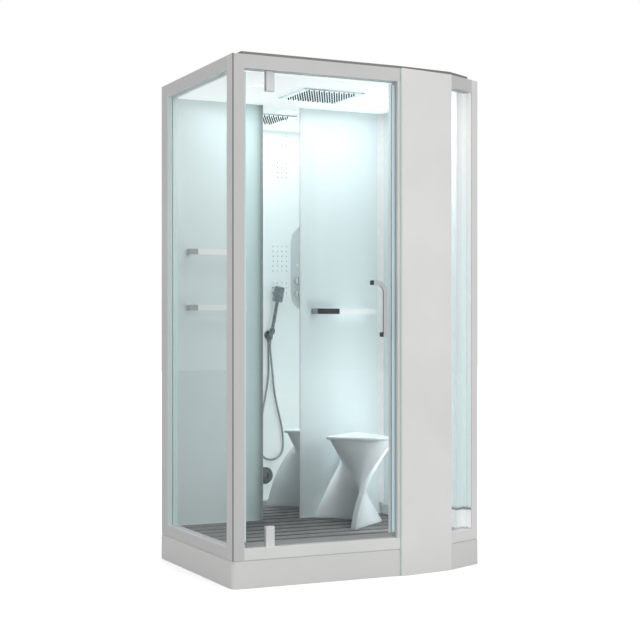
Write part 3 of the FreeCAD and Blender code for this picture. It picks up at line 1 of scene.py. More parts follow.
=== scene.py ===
import bmesh
import bpy
import json
import math
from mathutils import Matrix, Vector


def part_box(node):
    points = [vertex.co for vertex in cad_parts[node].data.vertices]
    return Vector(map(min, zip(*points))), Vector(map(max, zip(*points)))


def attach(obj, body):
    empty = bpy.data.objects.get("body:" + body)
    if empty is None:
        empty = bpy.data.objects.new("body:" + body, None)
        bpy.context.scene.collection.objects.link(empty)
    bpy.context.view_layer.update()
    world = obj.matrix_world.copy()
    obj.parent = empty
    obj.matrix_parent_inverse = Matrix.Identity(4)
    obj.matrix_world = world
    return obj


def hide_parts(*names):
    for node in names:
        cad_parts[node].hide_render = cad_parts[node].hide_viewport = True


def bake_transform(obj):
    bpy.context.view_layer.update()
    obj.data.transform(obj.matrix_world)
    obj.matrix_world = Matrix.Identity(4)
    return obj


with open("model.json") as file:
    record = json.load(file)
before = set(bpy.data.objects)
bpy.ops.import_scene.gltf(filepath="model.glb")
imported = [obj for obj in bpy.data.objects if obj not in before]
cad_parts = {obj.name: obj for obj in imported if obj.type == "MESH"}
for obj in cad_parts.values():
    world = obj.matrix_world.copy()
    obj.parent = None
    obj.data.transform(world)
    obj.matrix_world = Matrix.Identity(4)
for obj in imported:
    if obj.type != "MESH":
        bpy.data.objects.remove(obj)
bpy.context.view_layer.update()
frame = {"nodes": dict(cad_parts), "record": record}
nodes = frame["nodes"]


PLAN_CENTRE = (612, 425)


def at(x, y, z):
    """A place in millimetres from the cabin's front left corner, as the frame's metres."""
    return Vector(((x - PLAN_CENTRE[0]) / 1000, (y - PLAN_CENTRE[1]) / 1000, z / 1000))


# camera
camera = bpy.data.objects.new("camera", bpy.data.cameras.new("camera"))
bpy.context.scene.collection.objects.link(camera)
camera.location = (-2.6902, -5.5918, 1.0284)
camera.rotation_euler = (math.radians(90), 0, math.radians(-25.52))
camera.data.sensor_width = 36
camera.data.lens = 78.13
camera.data.shift_y = 0.0203
camera.data.clip_start = 0.1
camera.data.clip_end = 100
bpy.context.scene.camera = camera
bpy.context.scene.view_settings.view_transform = "Standard"


# materials
def material(name, colour, rough, metal=0.0, **sockets):
    """A new material, its shader and its tree. Other sockets are named with _ for a space."""
    mat = bpy.data.materials.new(name)
    mat.use_nodes = True
    shader = mat.node_tree.nodes["Principled BSDF"]
    shader.inputs["Base Color"].default_value = (*colour, 1)
    shader.inputs["Roughness"].default_value = rough
    shader.inputs["Metallic"].default_value = metal
    for key, value in sockets.items():
        shader.inputs[key.replace("_", " ")].default_value = value
    return mat, shader, mat.node_tree


def noise(tree, scale, detail, stretch=(1, 1, 1)):
    """A noise in the object's own space."""
    coords = tree.nodes.new("ShaderNodeTexCoord")
    mapping = tree.nodes.new("ShaderNodeMapping")
    mapping.inputs["Scale"].default_value = stretch
    tex = tree.nodes.new("ShaderNodeTexNoise")
    tex.inputs["Scale"].default_value = scale
    tex.inputs["Detail"].default_value = detail
    tex.inputs["Roughness"].default_value = 0.5
    tree.links.new(coords.outputs["Object"], mapping.inputs["Vector"])
    tree.links.new(mapping.outputs["Vector"], tex.inputs["Vector"])
    return tex.outputs["Fac"]


def ramp(tree, fac, low, high, start=0.35, end=0.65):
    """A colour between low and high."""
    node = tree.nodes.new("ShaderNodeValToRGB")
    node.color_ramp.elements[0].position = start
    node.color_ramp.elements[1].position = end
    node.color_ramp.elements[0].color = (*low, 1)
    node.color_ramp.elements[1].color = (*high, 1)
    tree.links.new(fac, node.inputs["Fac"])
    return node.outputs["Color"]


def spread(tree, fac, low, high):
    """A factor of 0 to 1 carried over to low and high."""
    node = tree.nodes.new("ShaderNodeMapRange")
    node.inputs["To Min"].default_value = low
    node.inputs["To Max"].default_value = high
    tree.links.new(fac, node.inputs["Value"])
    return node.outputs["Result"]


def bump(tree, shader, fac, strength, distance):
    """A shallow relief on the shader's normal."""
    node = tree.nodes.new("ShaderNodeBump")
    node.inputs["Strength"].default_value = strength
    node.inputs["Distance"].default_value = distance
    tree.links.new(fac, node.inputs["Height"])
    tree.links.new(node.outputs["Normal"], shader.inputs["Normal"])


def shade(colour, share):
    """The colour, darker or lighter by a share."""
    return tuple(c * share for c in colour)


def by_ray(tree, ray, usual, special, output):
    """The special shader for one kind of ray, the usual one for all others."""
    path = tree.nodes.new("ShaderNodeLightPath")
    mix = tree.nodes.new("ShaderNodeMixShader")
    tree.links.new(path.outputs[ray], mix.inputs["Fac"])
    tree.links.new(usual, mix.inputs[1])
    tree.links.new(special, mix.inputs[2])
    tree.links.new(mix.outputs["Shader"], tree.nodes[output].inputs["Surface"])


def satin(name, colour, metal, rough):
    """Satin coated metal: a fine grain and a slow drift of tone."""
    mat, shader, tree = material(name, colour, rough, metal)
    drift = noise(tree, 2.2, 3)
    tree.links.new(ramp(tree, drift, shade(colour, 0.96), shade(colour, 1.03)), shader.inputs["Base Color"])
    fine = noise(tree, 900, 1)
    tree.links.new(spread(tree, fine, rough - 0.06, rough + 0.06), shader.inputs["Roughness"])
    bump(tree, shader, fine, 0.08, 0.0002)
    return mat


def acrylic(name, colour, rough):
    """Moulded glossy acrylic: faint orange peel and slow drift of tone."""
    mat, shader, tree = material(name, colour, rough, 0.0, Coat_Weight=0.3, Coat_Roughness=0.08)
    drift = noise(tree, 3.0, 2)
    tree.links.new(ramp(tree, drift, shade(colour, 0.97), colour), shader.inputs["Base Color"])
    bump(tree, shader, noise(tree, 160, 2), 0.05, 0.0004)
    return mat


def bright_metal(name, colour, rough):
    """Polished metal, its sheen slightly uneven."""
    mat, shader, tree = material(name, colour, rough, 1.0)
    tree.links.new(spread(tree, noise(tree, 60, 3), rough * 0.6, rough * 1.6), shader.inputs["Roughness"])
    return mat


def brushed(name, colour, rough):
    """Metal with fine lines across its height."""
    mat, shader, tree = material(name, colour, rough, 1.0)
    lines = noise(tree, 40, 3, (1, 1, 60))
    tree.links.new(ramp(tree, lines, shade(colour, 0.85), shade(colour, 1.1)), shader.inputs["Base Color"])
    tree.links.new(spread(tree, lines, rough - 0.08, rough + 0.1), shader.inputs["Roughness"])
    return mat


def plastic(name, colour, rough, grain=400, strength=0.1):
    """Plain plastic or rubber with a fine grain."""
    mat, shader, tree = material(name, colour, rough)
    fine = noise(tree, grain, 2)
    tree.links.new(ramp(tree, fine, shade(colour, 0.93), shade(colour, 1.05)), shader.inputs["Base Color"])
    bump(tree, shader, fine, strength, 0.0003)
    return mat


def even_painted_glow(name, colour, strength):
    """A pale plastic with an even painted glow that stands in for light."""
    mat, shader, tree = material(name, colour, 0.5, 0.0, Emission_Strength=strength)
    drift = noise(tree, 3, 2)
    tree.links.new(ramp(tree, drift, shade(colour, 0.97), colour), shader.inputs["Base Color"])
    shader.inputs["Emission Color"].default_value = (*colour, 1)
    return mat


SHADOW_SHARE = 0.68


def pane(name, tint):
    """Tempered glass that lets a share of the lamps' light through."""
    mat, shader, tree = material(name, tint, 0.0, 0.0, Transmission_Weight=1.0, IOR=1.45)
    tree.links.new(spread(tree, noise(tree, 3, 2), 0.0, 0.015), shader.inputs["Roughness"])
    clear = tree.nodes.new("ShaderNodeBsdfTransparent")
    clear.inputs["Color"].default_value = (*shade(tint, SHADOW_SHARE), 1)
    by_ray(tree, "Is Shadow Ray", shader.outputs["BSDF"], clear.outputs["BSDF"], "Material Output")
    return mat


def painted_glass(name, colour):
    """Glass painted on its back, so that it looks solid."""
    mat, shader, tree = material(name, colour, 0.12, 0.0, Coat_Weight=1.0, Coat_Roughness=0.02)
    drift = noise(tree, 1.6, 2)
    tree.links.new(ramp(tree, drift, shade(colour, 0.975), colour), shader.inputs["Base Color"])
    tree.links.new(spread(tree, noise(tree, 30, 2), 0.08, 0.18), shader.inputs["Roughness"])
    return mat


def tones(tree, stops, axis):
    """Colours along an object's own axis: stops are (place in metres, colour)."""
    coords = tree.nodes.new("ShaderNodeTexCoord")
    parts = tree.nodes.new("ShaderNodeSeparateXYZ")
    tree.links.new(coords.outputs["Object"], parts.inputs["Vector"])
    first, last = stops[0][0], stops[-1][0]
    along = tree.nodes.new("ShaderNodeMapRange")
    along.inputs["From Min"].default_value = first
    along.inputs["From Max"].default_value = last
    tree.links.new(parts.outputs[axis], along.inputs["Value"])
    node = tree.nodes.new("ShaderNodeValToRGB")
    for place, colour in stops[1:-1]:
        node.color_ramp.elements.new((place - first) / (last - first))
    for element, (place, colour) in zip(node.color_ramp.elements, stops):
        element.color = (*colour, 1)
    tree.links.new(along.outputs["Result"], node.inputs["Fac"])
    return node.outputs["Color"]


def tone_along(name, stops, axis, rough, metal=0.0, grain=0):
    """One piece whose tone changes along an axis; the looks below use it mostly for painted light, shade and
    reflections.
    """
    mat, shader, tree = material(name, stops[0][1], rough, metal)
    tree.links.new(tones(tree, stops, axis), shader.inputs["Base Color"])
    tree.links.new(spread(tree, noise(tree, 30, 2), rough * 0.7, rough * 1.4), shader.inputs["Roughness"])
    if grain:
        bump(tree, shader, noise(tree, grain, 2), 0.2, 0.0003)
    return mat


def left_shaded(name, colour, dark, metal, rough):
    """Satin metal with painted shade: darker on the sides that face left."""
    mat, shader, tree = material(name, colour, rough, metal)
    coords = tree.nodes.new("ShaderNodeTexCoord")
    parts = tree.nodes.new("ShaderNodeSeparateXYZ")
    tree.links.new(coords.outputs["Normal"], parts.inputs["Vector"])
    left = tree.nodes.new("ShaderNodeMath")
    left.operation = "MULTIPLY"
    left.inputs[1].default_value = -1
    tree.links.new(parts.outputs["X"], left.inputs[0])
    tree.links.new(ramp(tree, left.outputs["Value"], colour, dark, 0.45, 0.7), shader.inputs["Base Color"])
    tree.links.new(spread(tree, noise(tree, 700, 1), rough - 0.06, rough + 0.06), shader.inputs["Roughness"])
    return mat


def painted_light_zones(name, colour, stops, zones, glow):
    """Satin metal with painted light where every zone holds: a pale, glowing colour that changes with height stands
    in for light on these faces; a zone is (direction on plan, limit).
    """
    mat, shader, tree = material(name, colour, 0.42, 0.1)
    coords = tree.nodes.new("ShaderNodeTexCoord")
    whole = None
    for way, limit in zones:
        reach = tree.nodes.new("ShaderNodeVectorMath")
        reach.operation = "DOT_PRODUCT"
        reach.inputs[1].default_value = (*way, 0)
        tree.links.new(coords.outputs["Object"], reach.inputs[0])
        inside = tree.nodes.new("ShaderNodeMath")
        inside.operation = "LESS_THAN"
        inside.inputs[1].default_value = limit
        tree.links.new(reach.outputs["Value"], inside.inputs[0])
        if whole is None:
            whole = inside.outputs["Value"]
            continue
        both = tree.nodes.new("ShaderNodeMath")
        both.operation = "MULTIPLY"
        tree.links.new(whole, both.inputs[0])
        tree.links.new(inside.outputs["Value"], both.inputs[1])
        whole = both.outputs["Value"]
    # the painted light's tones, by height
    zone_light_tones = tones(tree, stops, "Z")
    outer = ramp(tree, noise(tree, 2.2, 3), shade(colour, 0.96), shade(colour, 1.03))
    for socket, elsewhere in (("Base Color", outer), ("Emission Color", None)):
        mix = tree.nodes.new("ShaderNodeMix")
        mix.data_type = "RGBA"
        mix.inputs["A"].default_value = (0, 0, 0, 1)
        tree.links.new(whole, mix.inputs["Factor"])
        if elsewhere is not None:
            tree.links.new(elsewhere, mix.inputs["A"])
        tree.links.new(zone_light_tones, mix.inputs["B"])
        tree.links.new(mix.outputs["Result"], shader.inputs[socket])
    shader.inputs["Emission Strength"].default_value = glow
    return mat


def mirror_glass(name):
    """Silvered glass."""
    mat, shader, tree = material(name, (0.88, 0.92, 0.92), 0.01, 1.0)
    tree.links.new(spread(tree, noise(tree, 4, 2), 0.0, 0.02), shader.inputs["Roughness"])
    return mat


# a zone that holds at every place
EVERYWHERE = ((0, 0), 1)

looks = {
    "frame_silver": satin("frame_silver_look", (0.64, 0.64, 0.635), 0.2, 0.42),
    "white_acrylic": acrylic("white_acrylic_look", (0.70, 0.70, 0.695), 0.3),
    "clear_glass": pane("clear_glass_look", (0.965, 0.985, 0.987)),
    "painted_glass": painted_glass("painted_glass_look", (0.76, 0.86, 0.87)),
    "mirror": mirror_glass("mirror_look"),
    "chrome": bright_metal("chrome_look", (0.78, 0.79, 0.80), 0.03),
    "satin_steel": brushed("satin_steel_look", (0.55, 0.56, 0.57), 0.32),
    # painted shade: the deck is lighter at the front and darker towards the back wall
    "deck": tone_along("deck_painted_shade_look", [(-0.42, (0.30, 0.30, 0.29)), (-0.22, (0.21, 0.21, 0.205)),
                                   (0.05, (0.12, 0.122, 0.12)), (0.42, (0.055, 0.056, 0.056))],
                     "Y", 0.5, 0.0, 260),
    "white_plastic": plastic("white_plastic_look", (0.82, 0.83, 0.83), 0.3, 300, 0.05),
    "brass": brushed("brass_look", (0.62, 0.46, 0.22), 0.35),
    "copper": brushed("copper_look", (0.62, 0.33, 0.19), 0.3),
    "grey_plastic": plastic("grey_plastic_look", (0.16, 0.165, 0.17), 0.55),
    "zinc": brushed("zinc_look", (0.50, 0.51, 0.52), 0.42),
    "hose": brushed("hose_look", (0.42, 0.43, 0.44), 0.3),
    # painted shade: the white stool is tinted grey-teal
    "stool": acrylic("stool_painted_shade_look", (0.60, 0.65, 0.67), 0.28),
    "nozzles": plastic("nozzles_look", (0.012, 0.013, 0.014), 0.5, 200, 0.05),
    # painted glow: the ceiling light, vent grille and ceiling panel all glow evenly, standing in for the bright
    # ceiling
    "ceiling": even_painted_glow("ceiling_painted_glow_look", (0.86, 0.87, 0.87), 0.61),
    "fascia": plastic("fascia_look", (0.62, 0.65, 0.655), 0.3, 200, 0.0),
    "shower_steel": bright_metal("shower_steel_look", (0.30, 0.32, 0.33), 0.25),
    # painted light: the sills wear a lighter copy of the frame's satin
    "sill": satin("sill_look", (0.77, 0.78, 0.765), 0.1, 0.42),
    "roof": tone_along("roof_look", [(2.14, (0.22, 0.22, 0.218)), (2.1640, (0.22, 0.22, 0.218)),
                                   (2.1648, (0.62, 0.62, 0.615)), (2.17, (0.62, 0.62, 0.615))],
                     "Z", 0.45, 0.1, 500),
    # painted light: the seal's pale teal is lightened to cancel the shade beside the column; it is darker below 0.19
    # m up
    "edge_seal": tone_along("edge_seal_painted_light_look", [(0.180, (0.27, 0.28, 0.28)), (0.190, (0.67, 0.82, 0.83)),
                                             (2.1, (0.69, 0.83, 0.86))], "Z", 0.35),
    # painted shade: the panel darkens towards its edge by the mirror
    "left_panel": tone_along("left_panel_painted_shade_look", [(-0.60, (0.74, 0.86, 0.87)), (-0.312, (0.74, 0.86, 0.87)),
                                               (-0.205, (0.62, 0.77, 0.77)), (-0.169, (0.55, 0.68, 0.68)),
                                               (-0.153, (0.48, 0.60, 0.60)), (-0.143, (0.38, 0.48, 0.48)),
                                               (-0.132, (0.28, 0.35, 0.35))], "X", 0.12),
    # painted reflection: the chrome bars are dark at their left ends and near white along the rest
    "left_bars": tone_along("left_bars_painted_reflection_look", [(-0.60, (0.30, 0.34, 0.35)), (-0.462, (0.34, 0.38, 0.39)),
                                             (-0.459, (0.22, 0.25, 0.26)), (-0.455, (0.97, 0.98, 0.98)),
                                             (0.0, (0.98, 0.98, 0.98))], "X", 0.12, 0.05),
    # painted reflection: the chrome bar is dark in the middle and near white at its right end
    "right_bar": tone_along("right_bar_painted_reflection_look", [(0.10, (0.40, 0.42, 0.43)), (0.140, (0.30, 0.32, 0.33)),
                                             (0.145, (0.030, 0.034, 0.036)), (0.256, (0.036, 0.040, 0.042)),
                                             (0.262, (0.97, 0.98, 0.98)), (0.46, (0.97, 0.98, 0.98))],
                          "X", 0.12, 0.15),
    # painted light: the post's inner faces by the corner pane are pale, glow and turn white towards the top, and its
    # outside is lighter than the frame; the dark band 0.25 m up is the right wall's gasket
    "corner_post": painted_light_zones("corner_post_painted_light_look", (0.78, 0.78, 0.775),
                         [(0.10, (0.50, 0.51, 0.52)), (0.165, (0.50, 0.51, 0.52)), (0.170, (0.95, 0.96, 0.96)),
                          (0.246, (0.92, 0.93, 0.93)), (0.248, (0.12, 0.13, 0.13)), (0.254, (0.12, 0.13, 0.13)),
                          (0.257, (0.76, 0.87, 0.87)), (1.45, (0.88, 0.94, 0.95)),
                          (1.85, (1.0, 1.0, 1.0)), (2.1, (1.0, 1.0, 1.0))],
                         [((0.42, -0.907), 0.530), ((1, 0), 0.6)], 0.30),
    # painted light: the post's front face wears the back panel's teal and glows
    "back_post": painted_light_zones("back_post_painted_light_look", (0.60, 0.61, 0.61),
                       [(0.1, (0.66, 0.78, 0.79)), (2.1, (0.76, 0.86, 0.87))], [((0, 1), 0.3565)], 0.09),
    # painted light: the cover's left side is pale teal and glows
    "column": painted_light_zones("column_painted_light_look", (0.80, 0.80, 0.79),
                    [(0.1, (0.62, 0.69, 0.685)), (2.1, (0.65, 0.72, 0.72))], [((1, 0), 0.1572)], 0.2),
    # painted light: the profile's inner part is pale teal and glows
    "jamb": painted_light_zones("jamb_painted_light_look", (0.68, 0.69, 0.68),
                  [(0.1, (0.40, 0.45, 0.46)), (2.1, (0.40, 0.46, 0.47))], [((1, 0), 0.1418), ((0, -1), 0.416)], 0.1),
    # painted shade and light: the strip by the mirror's left edge is darker than the one on the right
    "strips": tone_along("strips_painted_light_look", [(-0.60, (0.40, 0.46, 0.46)), (-0.12, (0.30, 0.34, 0.34)),
                                       (-0.05, (0.66, 0.70, 0.70)), (0.30, (0.80, 0.84, 0.84)),
                                       (0.50, (0.86, 0.89, 0.89))], "X", 0.25),
    # painted shade: a dark line down the post's front by its corner, and the left face a shade lighter than the
    # front
    "front_post": tone_along("front_post_painted_shade_look", [(-0.6125, (0.66, 0.66, 0.655)), (-0.6118, (0.66, 0.66, 0.655)),
                                               (-0.6115, (0.18, 0.18, 0.18)), (-0.6072, (0.18, 0.18, 0.18)),
                                               (-0.6062, (0.61, 0.61, 0.605)), (-0.55, (0.61, 0.61, 0.605))],
                           "X", 0.42, 0.2),
    # painted highlight: the rail's underside is pale, below 2.0948 m up
    "left_head": tone_along("left_head_painted_highlight_look", [(2.05, (0.92, 0.95, 0.95)), (2.0944, (0.92, 0.95, 0.95)),
                                             (2.0952, (0.60, 0.60, 0.595)), (2.16, (0.60, 0.60, 0.595))],
                          "Z", 0.42, 0.15),
    "left_sill": tone_along("left_sill_look", [(0.10, (0.64, 0.64, 0.635)), (0.1592, (0.64, 0.64, 0.635)),
                                             (0.1598, (0.56, 0.57, 0.565)), (0.17, (0.56, 0.57, 0.565))],
                          "Z", 0.42, 0.2),
    # painted light: the inner panel glows and is lighter towards the bottom
    "inner_painted_glow": painted_light_zones("inner_painted_glow_look", (0.84, 0.87, 0.87),
                         [(0.15, (0.98, 0.99, 0.99)), (0.70, (0.97, 0.98, 0.98)), (1.25, (0.82, 0.85, 0.85)),
                          (2.1, (0.82, 0.85, 0.85))], [EVERYWHERE], 0.15),
    "dark_chrome": bright_metal("dark_chrome_look", (0.22, 0.24, 0.245), 0.06),
    # painted shade: the handle's left-facing sides are darker
    "handle": left_shaded("handle_painted_shade_look", (0.66, 0.69, 0.71), (0.05, 0.06, 0.065), 0.5, 0.3),
    "clamp": satin("clamp_look", (0.74, 0.75, 0.75), 0.15, 0.35),
}
slots = {part["node"]: part["material_slot"] for part in frame["record"]["subparts"]}
# nodes whose look isn't simply their slot's
worn_by = {
    "sill": ("sill_front", "sill_corner"),
    "strips": ("back_wall_strips",),
    "front_post": ("post_front_left",),
    "left_head": ("head_left",),
    "left_sill": ("sill_left",),
    "inner_painted_glow": ("column_inner_panel",),
    "dark_chrome": ("steam_outlet",),
    "ceiling": ("ceiling_light", "vent_grille", "ceiling_panel"),
    "left_panel": ("back_panel_left",),
    "left_bars": ("towel_bars_left",),
    "right_bar": ("towel_bar_right",),
    "column": ("column_cover",),
    "jamb": ("jamb_profile",),
    "roof": ("roof_cap",),
    "edge_seal": ("door_seals",),
    "corner_post": ("post_front_right",),
    "back_post": ("post_back_left",),
    "nozzles": ("rain_nozzles",),
    "fascia": ("control_fascia",),
    "shower_steel": ("hand_shower", "hand_shower_holder"),
    "handle": ("door_handle",),
    "clamp": ("hinge_clamp_top", "hinge_clamp_bottom"),
}
own_looks = {node: look for look, wearers in worn_by.items() for node in wearers}
for name, obj in nodes.items():
    obj.data.materials.clear()
    obj.data.materials.append(looks[own_looks.get(name, slots[name])])


def new_piece(name, shape, look, smooth=True):
    mesh = bpy.data.meshes.new(name)
    bmesh.ops.recalc_face_normals(shape, faces=shape.faces)
    shape.to_mesh(mesh)
    shape.free()
    mesh.polygons.foreach_set("use_smooth", [smooth] * len(mesh.polygons))
    obj = bpy.data.objects.new(name, mesh)
    bpy.context.scene.collection.objects.link(obj)
    mesh.materials.append(look)
    return obj


def bridge(shape, rings):
    """Faces from each ring to the next."""
    for low, high in zip(rings, rings[1:]):
        for k in range(len(low)):
            shape.faces.new((low[k], low[k - 1], high[k - 1], high[k]))


# hose: the outlet's strand down, round the bottom and up to the hand shower
ROUTE = [(830, 128, 985), (830, 128, 925), (833, 127, 850), (829, 125, 765), (799, 124, 615),
         (781, 124, 500), (780, 124, 400), (820, 124.5, 360), (877, 124.5, 360), (917, 124, 400),
         (917, 124, 485), (902, 125.5, 565), (877, 128, 655), (860, 132, 735), (851, 138, 808),
         (838, 147, 890), (828.9, 150, 966.9), (834.5, 150, 996.4)]


def spline_points(name, route, resolution):
    """Points read from the NURBS curve with the route's points as its control points."""
    curve = bpy.data.curves.new(name, "CURVE")
    curve.dimensions = "3D"
    spline = curve.splines.new("NURBS")
    spline.points.add(len(route) - 1)
    for point, spot in zip(spline.points, route):
        point.co = (*at(*spot), 1)
    spline.order_u = 3
    spline.use_endpoint_u = True
    spline.resolution_u = resolution
    holder = bpy.data.objects.new(name, curve)
    bpy.context.scene.collection.objects.link(holder)
    bpy.context.view_layer.update()
    mesh = bpy.data.meshes.new_from_object(holder.evaluated_get(bpy.context.evaluated_depsgraph_get()))
    points = [v.co.copy() for v in mesh.vertices]
    bpy.data.objects.remove(holder)
    bpy.data.curves.remove(curve)
    bpy.data.meshes.remove(mesh)
    return points


def even(points, step):
    """The same line with points at an even distance."""
    out = [points[0]]
    left = step
    for a, b in zip(points, points[1:]):
        run = (b - a).length
        place = left
        while place < run:
            out.append(a.lerp(b, place / run))
            place += step
        left = place - run
    out.append(points[-1])
    return out


def tube(points, radius_at, around):
    """Rings carried along a line without twisting."""
    shape = bmesh.new()
    side = Vector((0, 1, 0))
    rings = []
    for i, spot in enumerate(points):
        ahead = points[min(i + 1, len(points) - 1)] - points[max(i - 1, 0)]
        ahead.normalize()
        side = (side - ahead * side.dot(ahead)).normalized()
        up = ahead.cross(side)
        ring = []
        for k in range(around):
            turn = 2 * math.pi * k / around
            ring.append(shape.verts.new(spot + (side * math.cos(turn) + up * math.sin(turn)) * radius_at(i)))
        rings.append(ring)
    bridge(shape, rings)
    shape.faces.new(rings[0])
    shape.faces.new(rings[-1])
    return shape


HOSE_STEP = 0.002
HOSE_RIB, HOSE_GROOVE = 0.0059, 0.0048

line = even(spline_points("hose_route", ROUTE, 40), HOSE_STEP)
hose_length = sum((b - a).length for a, b in zip(line, line[1:]))
print("hose length", round(hose_length, 4))
hose = new_piece("hose", tube(line, lambda i: HOSE_RIB if i % 2 else HOSE_GROOVE, 14), looks["hose"])
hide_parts("shower_hose")
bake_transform(hose)


# stool: a folded sheet between a three-cornered foot and a three-cornered seat, in millimetres
SEAT = [(704, 606), (959, 381), (982, 832)]
SEAT_MIDDLE = Vector((881.67, 606.33))
SHEET_INSET = 12
SHEET_TOP = [Vector(spot) + (SEAT_MIDDLE - Vector(spot)).normalized() * SHEET_INSET for spot in SEAT]
BASE = [(1000, 590), (722, 362), (745, 815)]
SHEET_FOOT, SHEET_RISE = 150, 393
SHEET_HALF = 12
FRONT_BOW = 45
SEAT_SWELL = 16


def softened(points, closed):
    """The line with its corners eased, twice over."""
    for _ in range(2):
        count = len(points)
        if closed:
            points = [(points[i - 1] + points[i] * 2 + points[(i + 1) % count]) / 4 for i in range(count)]
        else:
            points = [points[0]] + [(points[i - 1] + points[i] * 2 + points[i + 1]) / 4
                                    for i in range(1, count - 1)] + [points[-1]]
    return points


def stool_section(share):
    """The folded sheet's middle line at a share of its height: front edge, fold, back edge."""
    fold, front, back = [Vector((a[0] + (b[0] - a[0]) * share, a[1] + (b[1] - a[1]) * share))
                         for a, b in zip(BASE, SHEET_TOP)]
    front.x -= FRONT_BOW * math.sin(math.pi * share)
    return front, fold, back


def stool_sheet():
    """The folded sheet, a closed ring of points at each height."""
    shape = bmesh.new()
    up_count, wing = 28, 10
    rings = []
    for j in range(up_count + 1):
        share = j / up_count
        front, fold, back = stool_section(share)
        line = []
        for i in range(2 * wing + 1):
            a, b, k = (front, fold, i / wing) if i <= wing else (fold, back, i / wing - 1)
            line.append(a.lerp(b, k))
        line = softened(line, False)
        sides = []
        for i, spot in enumerate(line):
            ahead = (line[min(i + 1, len(line) - 1)] - line[max(i - 1, 0)]).normalized()
            normal = Vector((-ahead.y, ahead.x))
            sides.append((spot + normal * SHEET_HALF, spot - normal * SHEET_HALF))
        ring = [s[0] for s in sides] + [s[1] for s in reversed(sides)]
        rings.append([shape.verts.new(at(p.x, p.y, SHEET_FOOT + SHEET_RISE * share)) for p in ring])
    bridge(shape, rings)
    count = len(rings[0])
    for ring in (rings[0], rings[-1]):
        for k in range(count // 2 - 1):
            shape.faces.new((ring[k], ring[k + 1], ring[count - 2 - k], ring[count - 1 - k]))
    return shape


def stool_seat():
    """A thin slab with edges that curve out and a soft rim."""
    centre = Vector((sum(x for x, _ in SEAT) / 3, sum(y for _, y in SEAT) / 3))
    outline = []
    for i in range(3):
        a, b = Vector(SEAT[i]), Vector(SEAT[(i + 1) % 3])
        out = ((a + b) / 2 - centre).normalized()
        for k in range(24):
            share = k / 24
            swell = SEAT_SWELL * (1 - (2 * share - 1) ** 2)
            outline.append(a.lerp(b, share) + out * swell)
    outline = softened(outline, True)
    shape = bmesh.new()
    # share of the outline's size, height
    levels = [(0.985, 536.5), (0.996, 538.5), (1.0, 542), (1.0, 545), (0.997, 548.5), (0.985, 550), (0.9, 549.6),
              (0.6, 548.4), (0.3, 547.8)]
    rings = []
    for share, z in levels:
        rings.append([shape.verts.new(at(*(centre + (p - centre) * share), z)) for p in outline])
    bridge(shape, rings)
    middle = shape.verts.new(at(*centre, 547.6))
    last = rings[-1]
    for k in range(len(last)):
        shape.faces.new((last[k - 1], last[k], middle))
    shape.faces.new(rings[0])
    return shape


stool_body = new_piece("stool_body", stool_sheet(), looks["stool"])
bevel = stool_body.modifiers.new("rim", "BEVEL")
bevel.width = 0.003
bevel.segments = 2
bevel.angle_limit = math.radians(60)
seat = new_piece("stool_seat", stool_seat(), looks["stool"])
for piece in (stool_body, seat):
    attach(piece, "stool")
    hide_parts("stool")


# rain head's nozzles: how many in a row, the first one's distance from the field's edge,
# and each one's radius at a depth under the plate
NOZZLE_ROW = 10
NOZZLE_EDGE = 0.0032
NOZZLE_SHAPE = ((0.0036, 0.0), (0.0033, 0.002), (0.0022, 0.0060))


def nozzle_field():
    """Rubber nozzles over the field that the CAD ones cover."""
    low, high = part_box("rain_nozzles")
    step_x = (high[0] - low[0] - 2 * NOZZLE_EDGE) / (NOZZLE_ROW - 1)
    step_y = (high[1] - low[1] - 2 * NOZZLE_EDGE) / (NOZZLE_ROW - 1)
    shape = bmesh.new()
    for i in range(NOZZLE_ROW):
        for j in range(NOZZLE_ROW):
            x = low[0] + NOZZLE_EDGE + i * step_x
            y = low[1] + NOZZLE_EDGE + j * step_y
            rings = []
            for radius, depth in NOZZLE_SHAPE:
                rings.append([shape.verts.new((x + radius * math.cos(k * math.pi / 5),
                                               y + radius * math.sin(k * math.pi / 5), high[2] - depth))
                              for k in range(10)])
            bridge(shape, rings)
            shape.faces.new(rings[0])
            shape.faces.new(rings[-1])
    return shape


nozzles = new_piece("nozzle_field", nozzle_field(), looks["nozzles"], False)
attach(nozzles, "frame")
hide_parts("rain_nozzles")


# studio
def light_source(name, kind, watts, place, aim):
    """A lamp that glass neither mirrors nor shows."""
    light = bpy.data.objects.new(name, bpy.data.lights.new(name, kind))
    light.data.energy = watts
    light.location = place
    light.rotation_euler = (Vector(aim) - Vector(place)).to_track_quat("-Z", "Y").to_euler()
    light.visible_glossy = False
    light.visible_transmission = False
    bpy.context.scene.collection.objects.link(light)
    return light


def panel_lamp(name, place, aim, size, watts):
    """A rectangular soft box."""
    light = light_source(name, "AREA", watts, place, aim)
    light.data.shape = "RECTANGLE"
    light.data.size, light.data.size_y = size
    return light


panel_lamp("key_right", (2.6, -8.0, 3.0), (0, 0, 1.1), (6.0, 5.0), 240)
panel_lamp("fill_left", (-6.0, -3.0, 2.0), (0, 0, 1.1), (5.0, 4.0), 85)
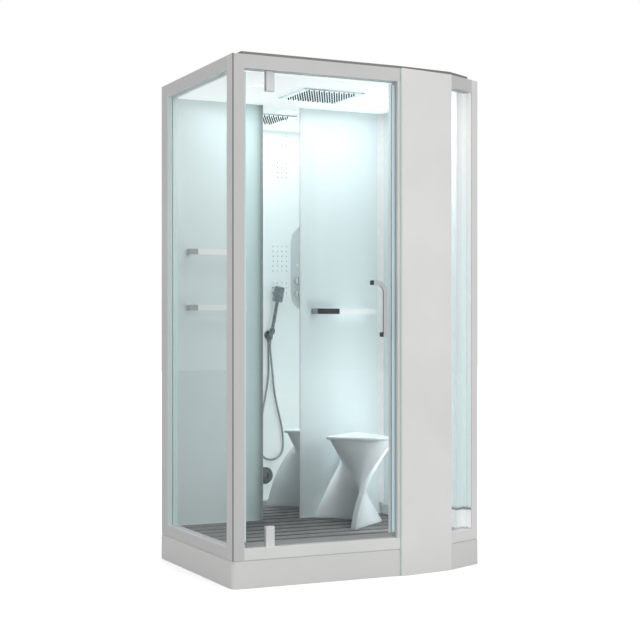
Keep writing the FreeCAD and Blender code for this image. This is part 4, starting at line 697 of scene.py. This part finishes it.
# soft boxes inside the cabin, and a narrow beam on the stool
for name, place, aim, size, watts in (
        ("cabin_down", (-0.02, 0.03, 2.09), (-0.02, 0.03, 0), (0.93, 0.58), 4.9),
        ("cabin_back", (0.28, 0.385, 0.78), (0.24, -0.4, 0.78), (0.25, 1.2), 1.3),
        ("cabin_low", (0.42, -0.20, 0.55), (0.15, 0.42, 0.5), (0.12, 0.7), 2.1)):
    panel_lamp(name, place, aim, size, watts).visible_camera = False
spot = light_source("cabin_spot", "SPOT", 60, (0.36, 0.30, 2.05), (0.262, 0.19, 0.45))
spot.data.spot_size = math.radians(24)
spot.data.spot_blend = 0.6
spot.data.shadow_soft_size = 0.06
spot.visible_camera = False
sun = bpy.data.objects.new("sky", bpy.data.lights.new("sky", "SUN"))
sun.data.energy = 2.6
sun.data.angle = 1.2
bpy.context.scene.collection.objects.link(sun)

# white behind the cabin and overhead, dim on the camera's side, as a studio is
world = bpy.data.worlds.new("world")
bpy.context.scene.world = world
world.use_nodes = True
tree = world.node_tree
background = tree.nodes["Background"]
background.inputs["Strength"].default_value = 1.0
way = tree.nodes.new("ShaderNodeTexCoord")
part_of = tree.nodes.new("ShaderNodeSeparateXYZ")
tree.links.new(way.outputs["Generated"], part_of.inputs["Vector"])
higher = tree.nodes.new("ShaderNodeMath")
higher.operation = "MAXIMUM"
tree.links.new(part_of.outputs["Y"], higher.inputs[0])
tree.links.new(part_of.outputs["Z"], higher.inputs[1])
fade = tree.nodes.new("ShaderNodeMapRange")
fade.inputs["From Min"].default_value = -0.25
fade.inputs["From Max"].default_value = 0.45
fade.inputs["To Min"].default_value = 0.08
fade.inputs["To Max"].default_value = 0.56
tree.links.new(higher.outputs["Value"], fade.inputs["Value"])
tree.links.new(fade.outputs["Result"], background.inputs["Color"])
seen = tree.nodes.new("ShaderNodeBackground")
seen.inputs["Color"].default_value = (1, 1, 1, 1)
by_ray(tree, "Is Camera Ray", background.outputs["Background"], seen.outputs["Background"], "World Output")

# floor: white to the camera, dim to everything else, just under the cabin
floor_mesh = bpy.data.meshes.new("floor")
shape = bmesh.new()
bmesh.ops.create_grid(shape, x_segments=2, y_segments=2, size=30)
shape.to_mesh(floor_mesh)
shape.free()
floor = bpy.data.objects.new("floor", floor_mesh)
floor.location.z = -0.0005
bpy.context.scene.collection.objects.link(floor)
floor_look, floor_shader, tree = material("floor_look", (0.95, 0.95, 0.95), 0.9)
dim = tree.nodes.new("ShaderNodeBsdfDiffuse")
dim.inputs["Color"].default_value = (0.30, 0.30, 0.30, 1)
by_ray(tree, "Is Camera Ray", dim.outputs["BSDF"], floor_shader.outputs["BSDF"], "Material Output")
floor.data.materials.append(floor_look)
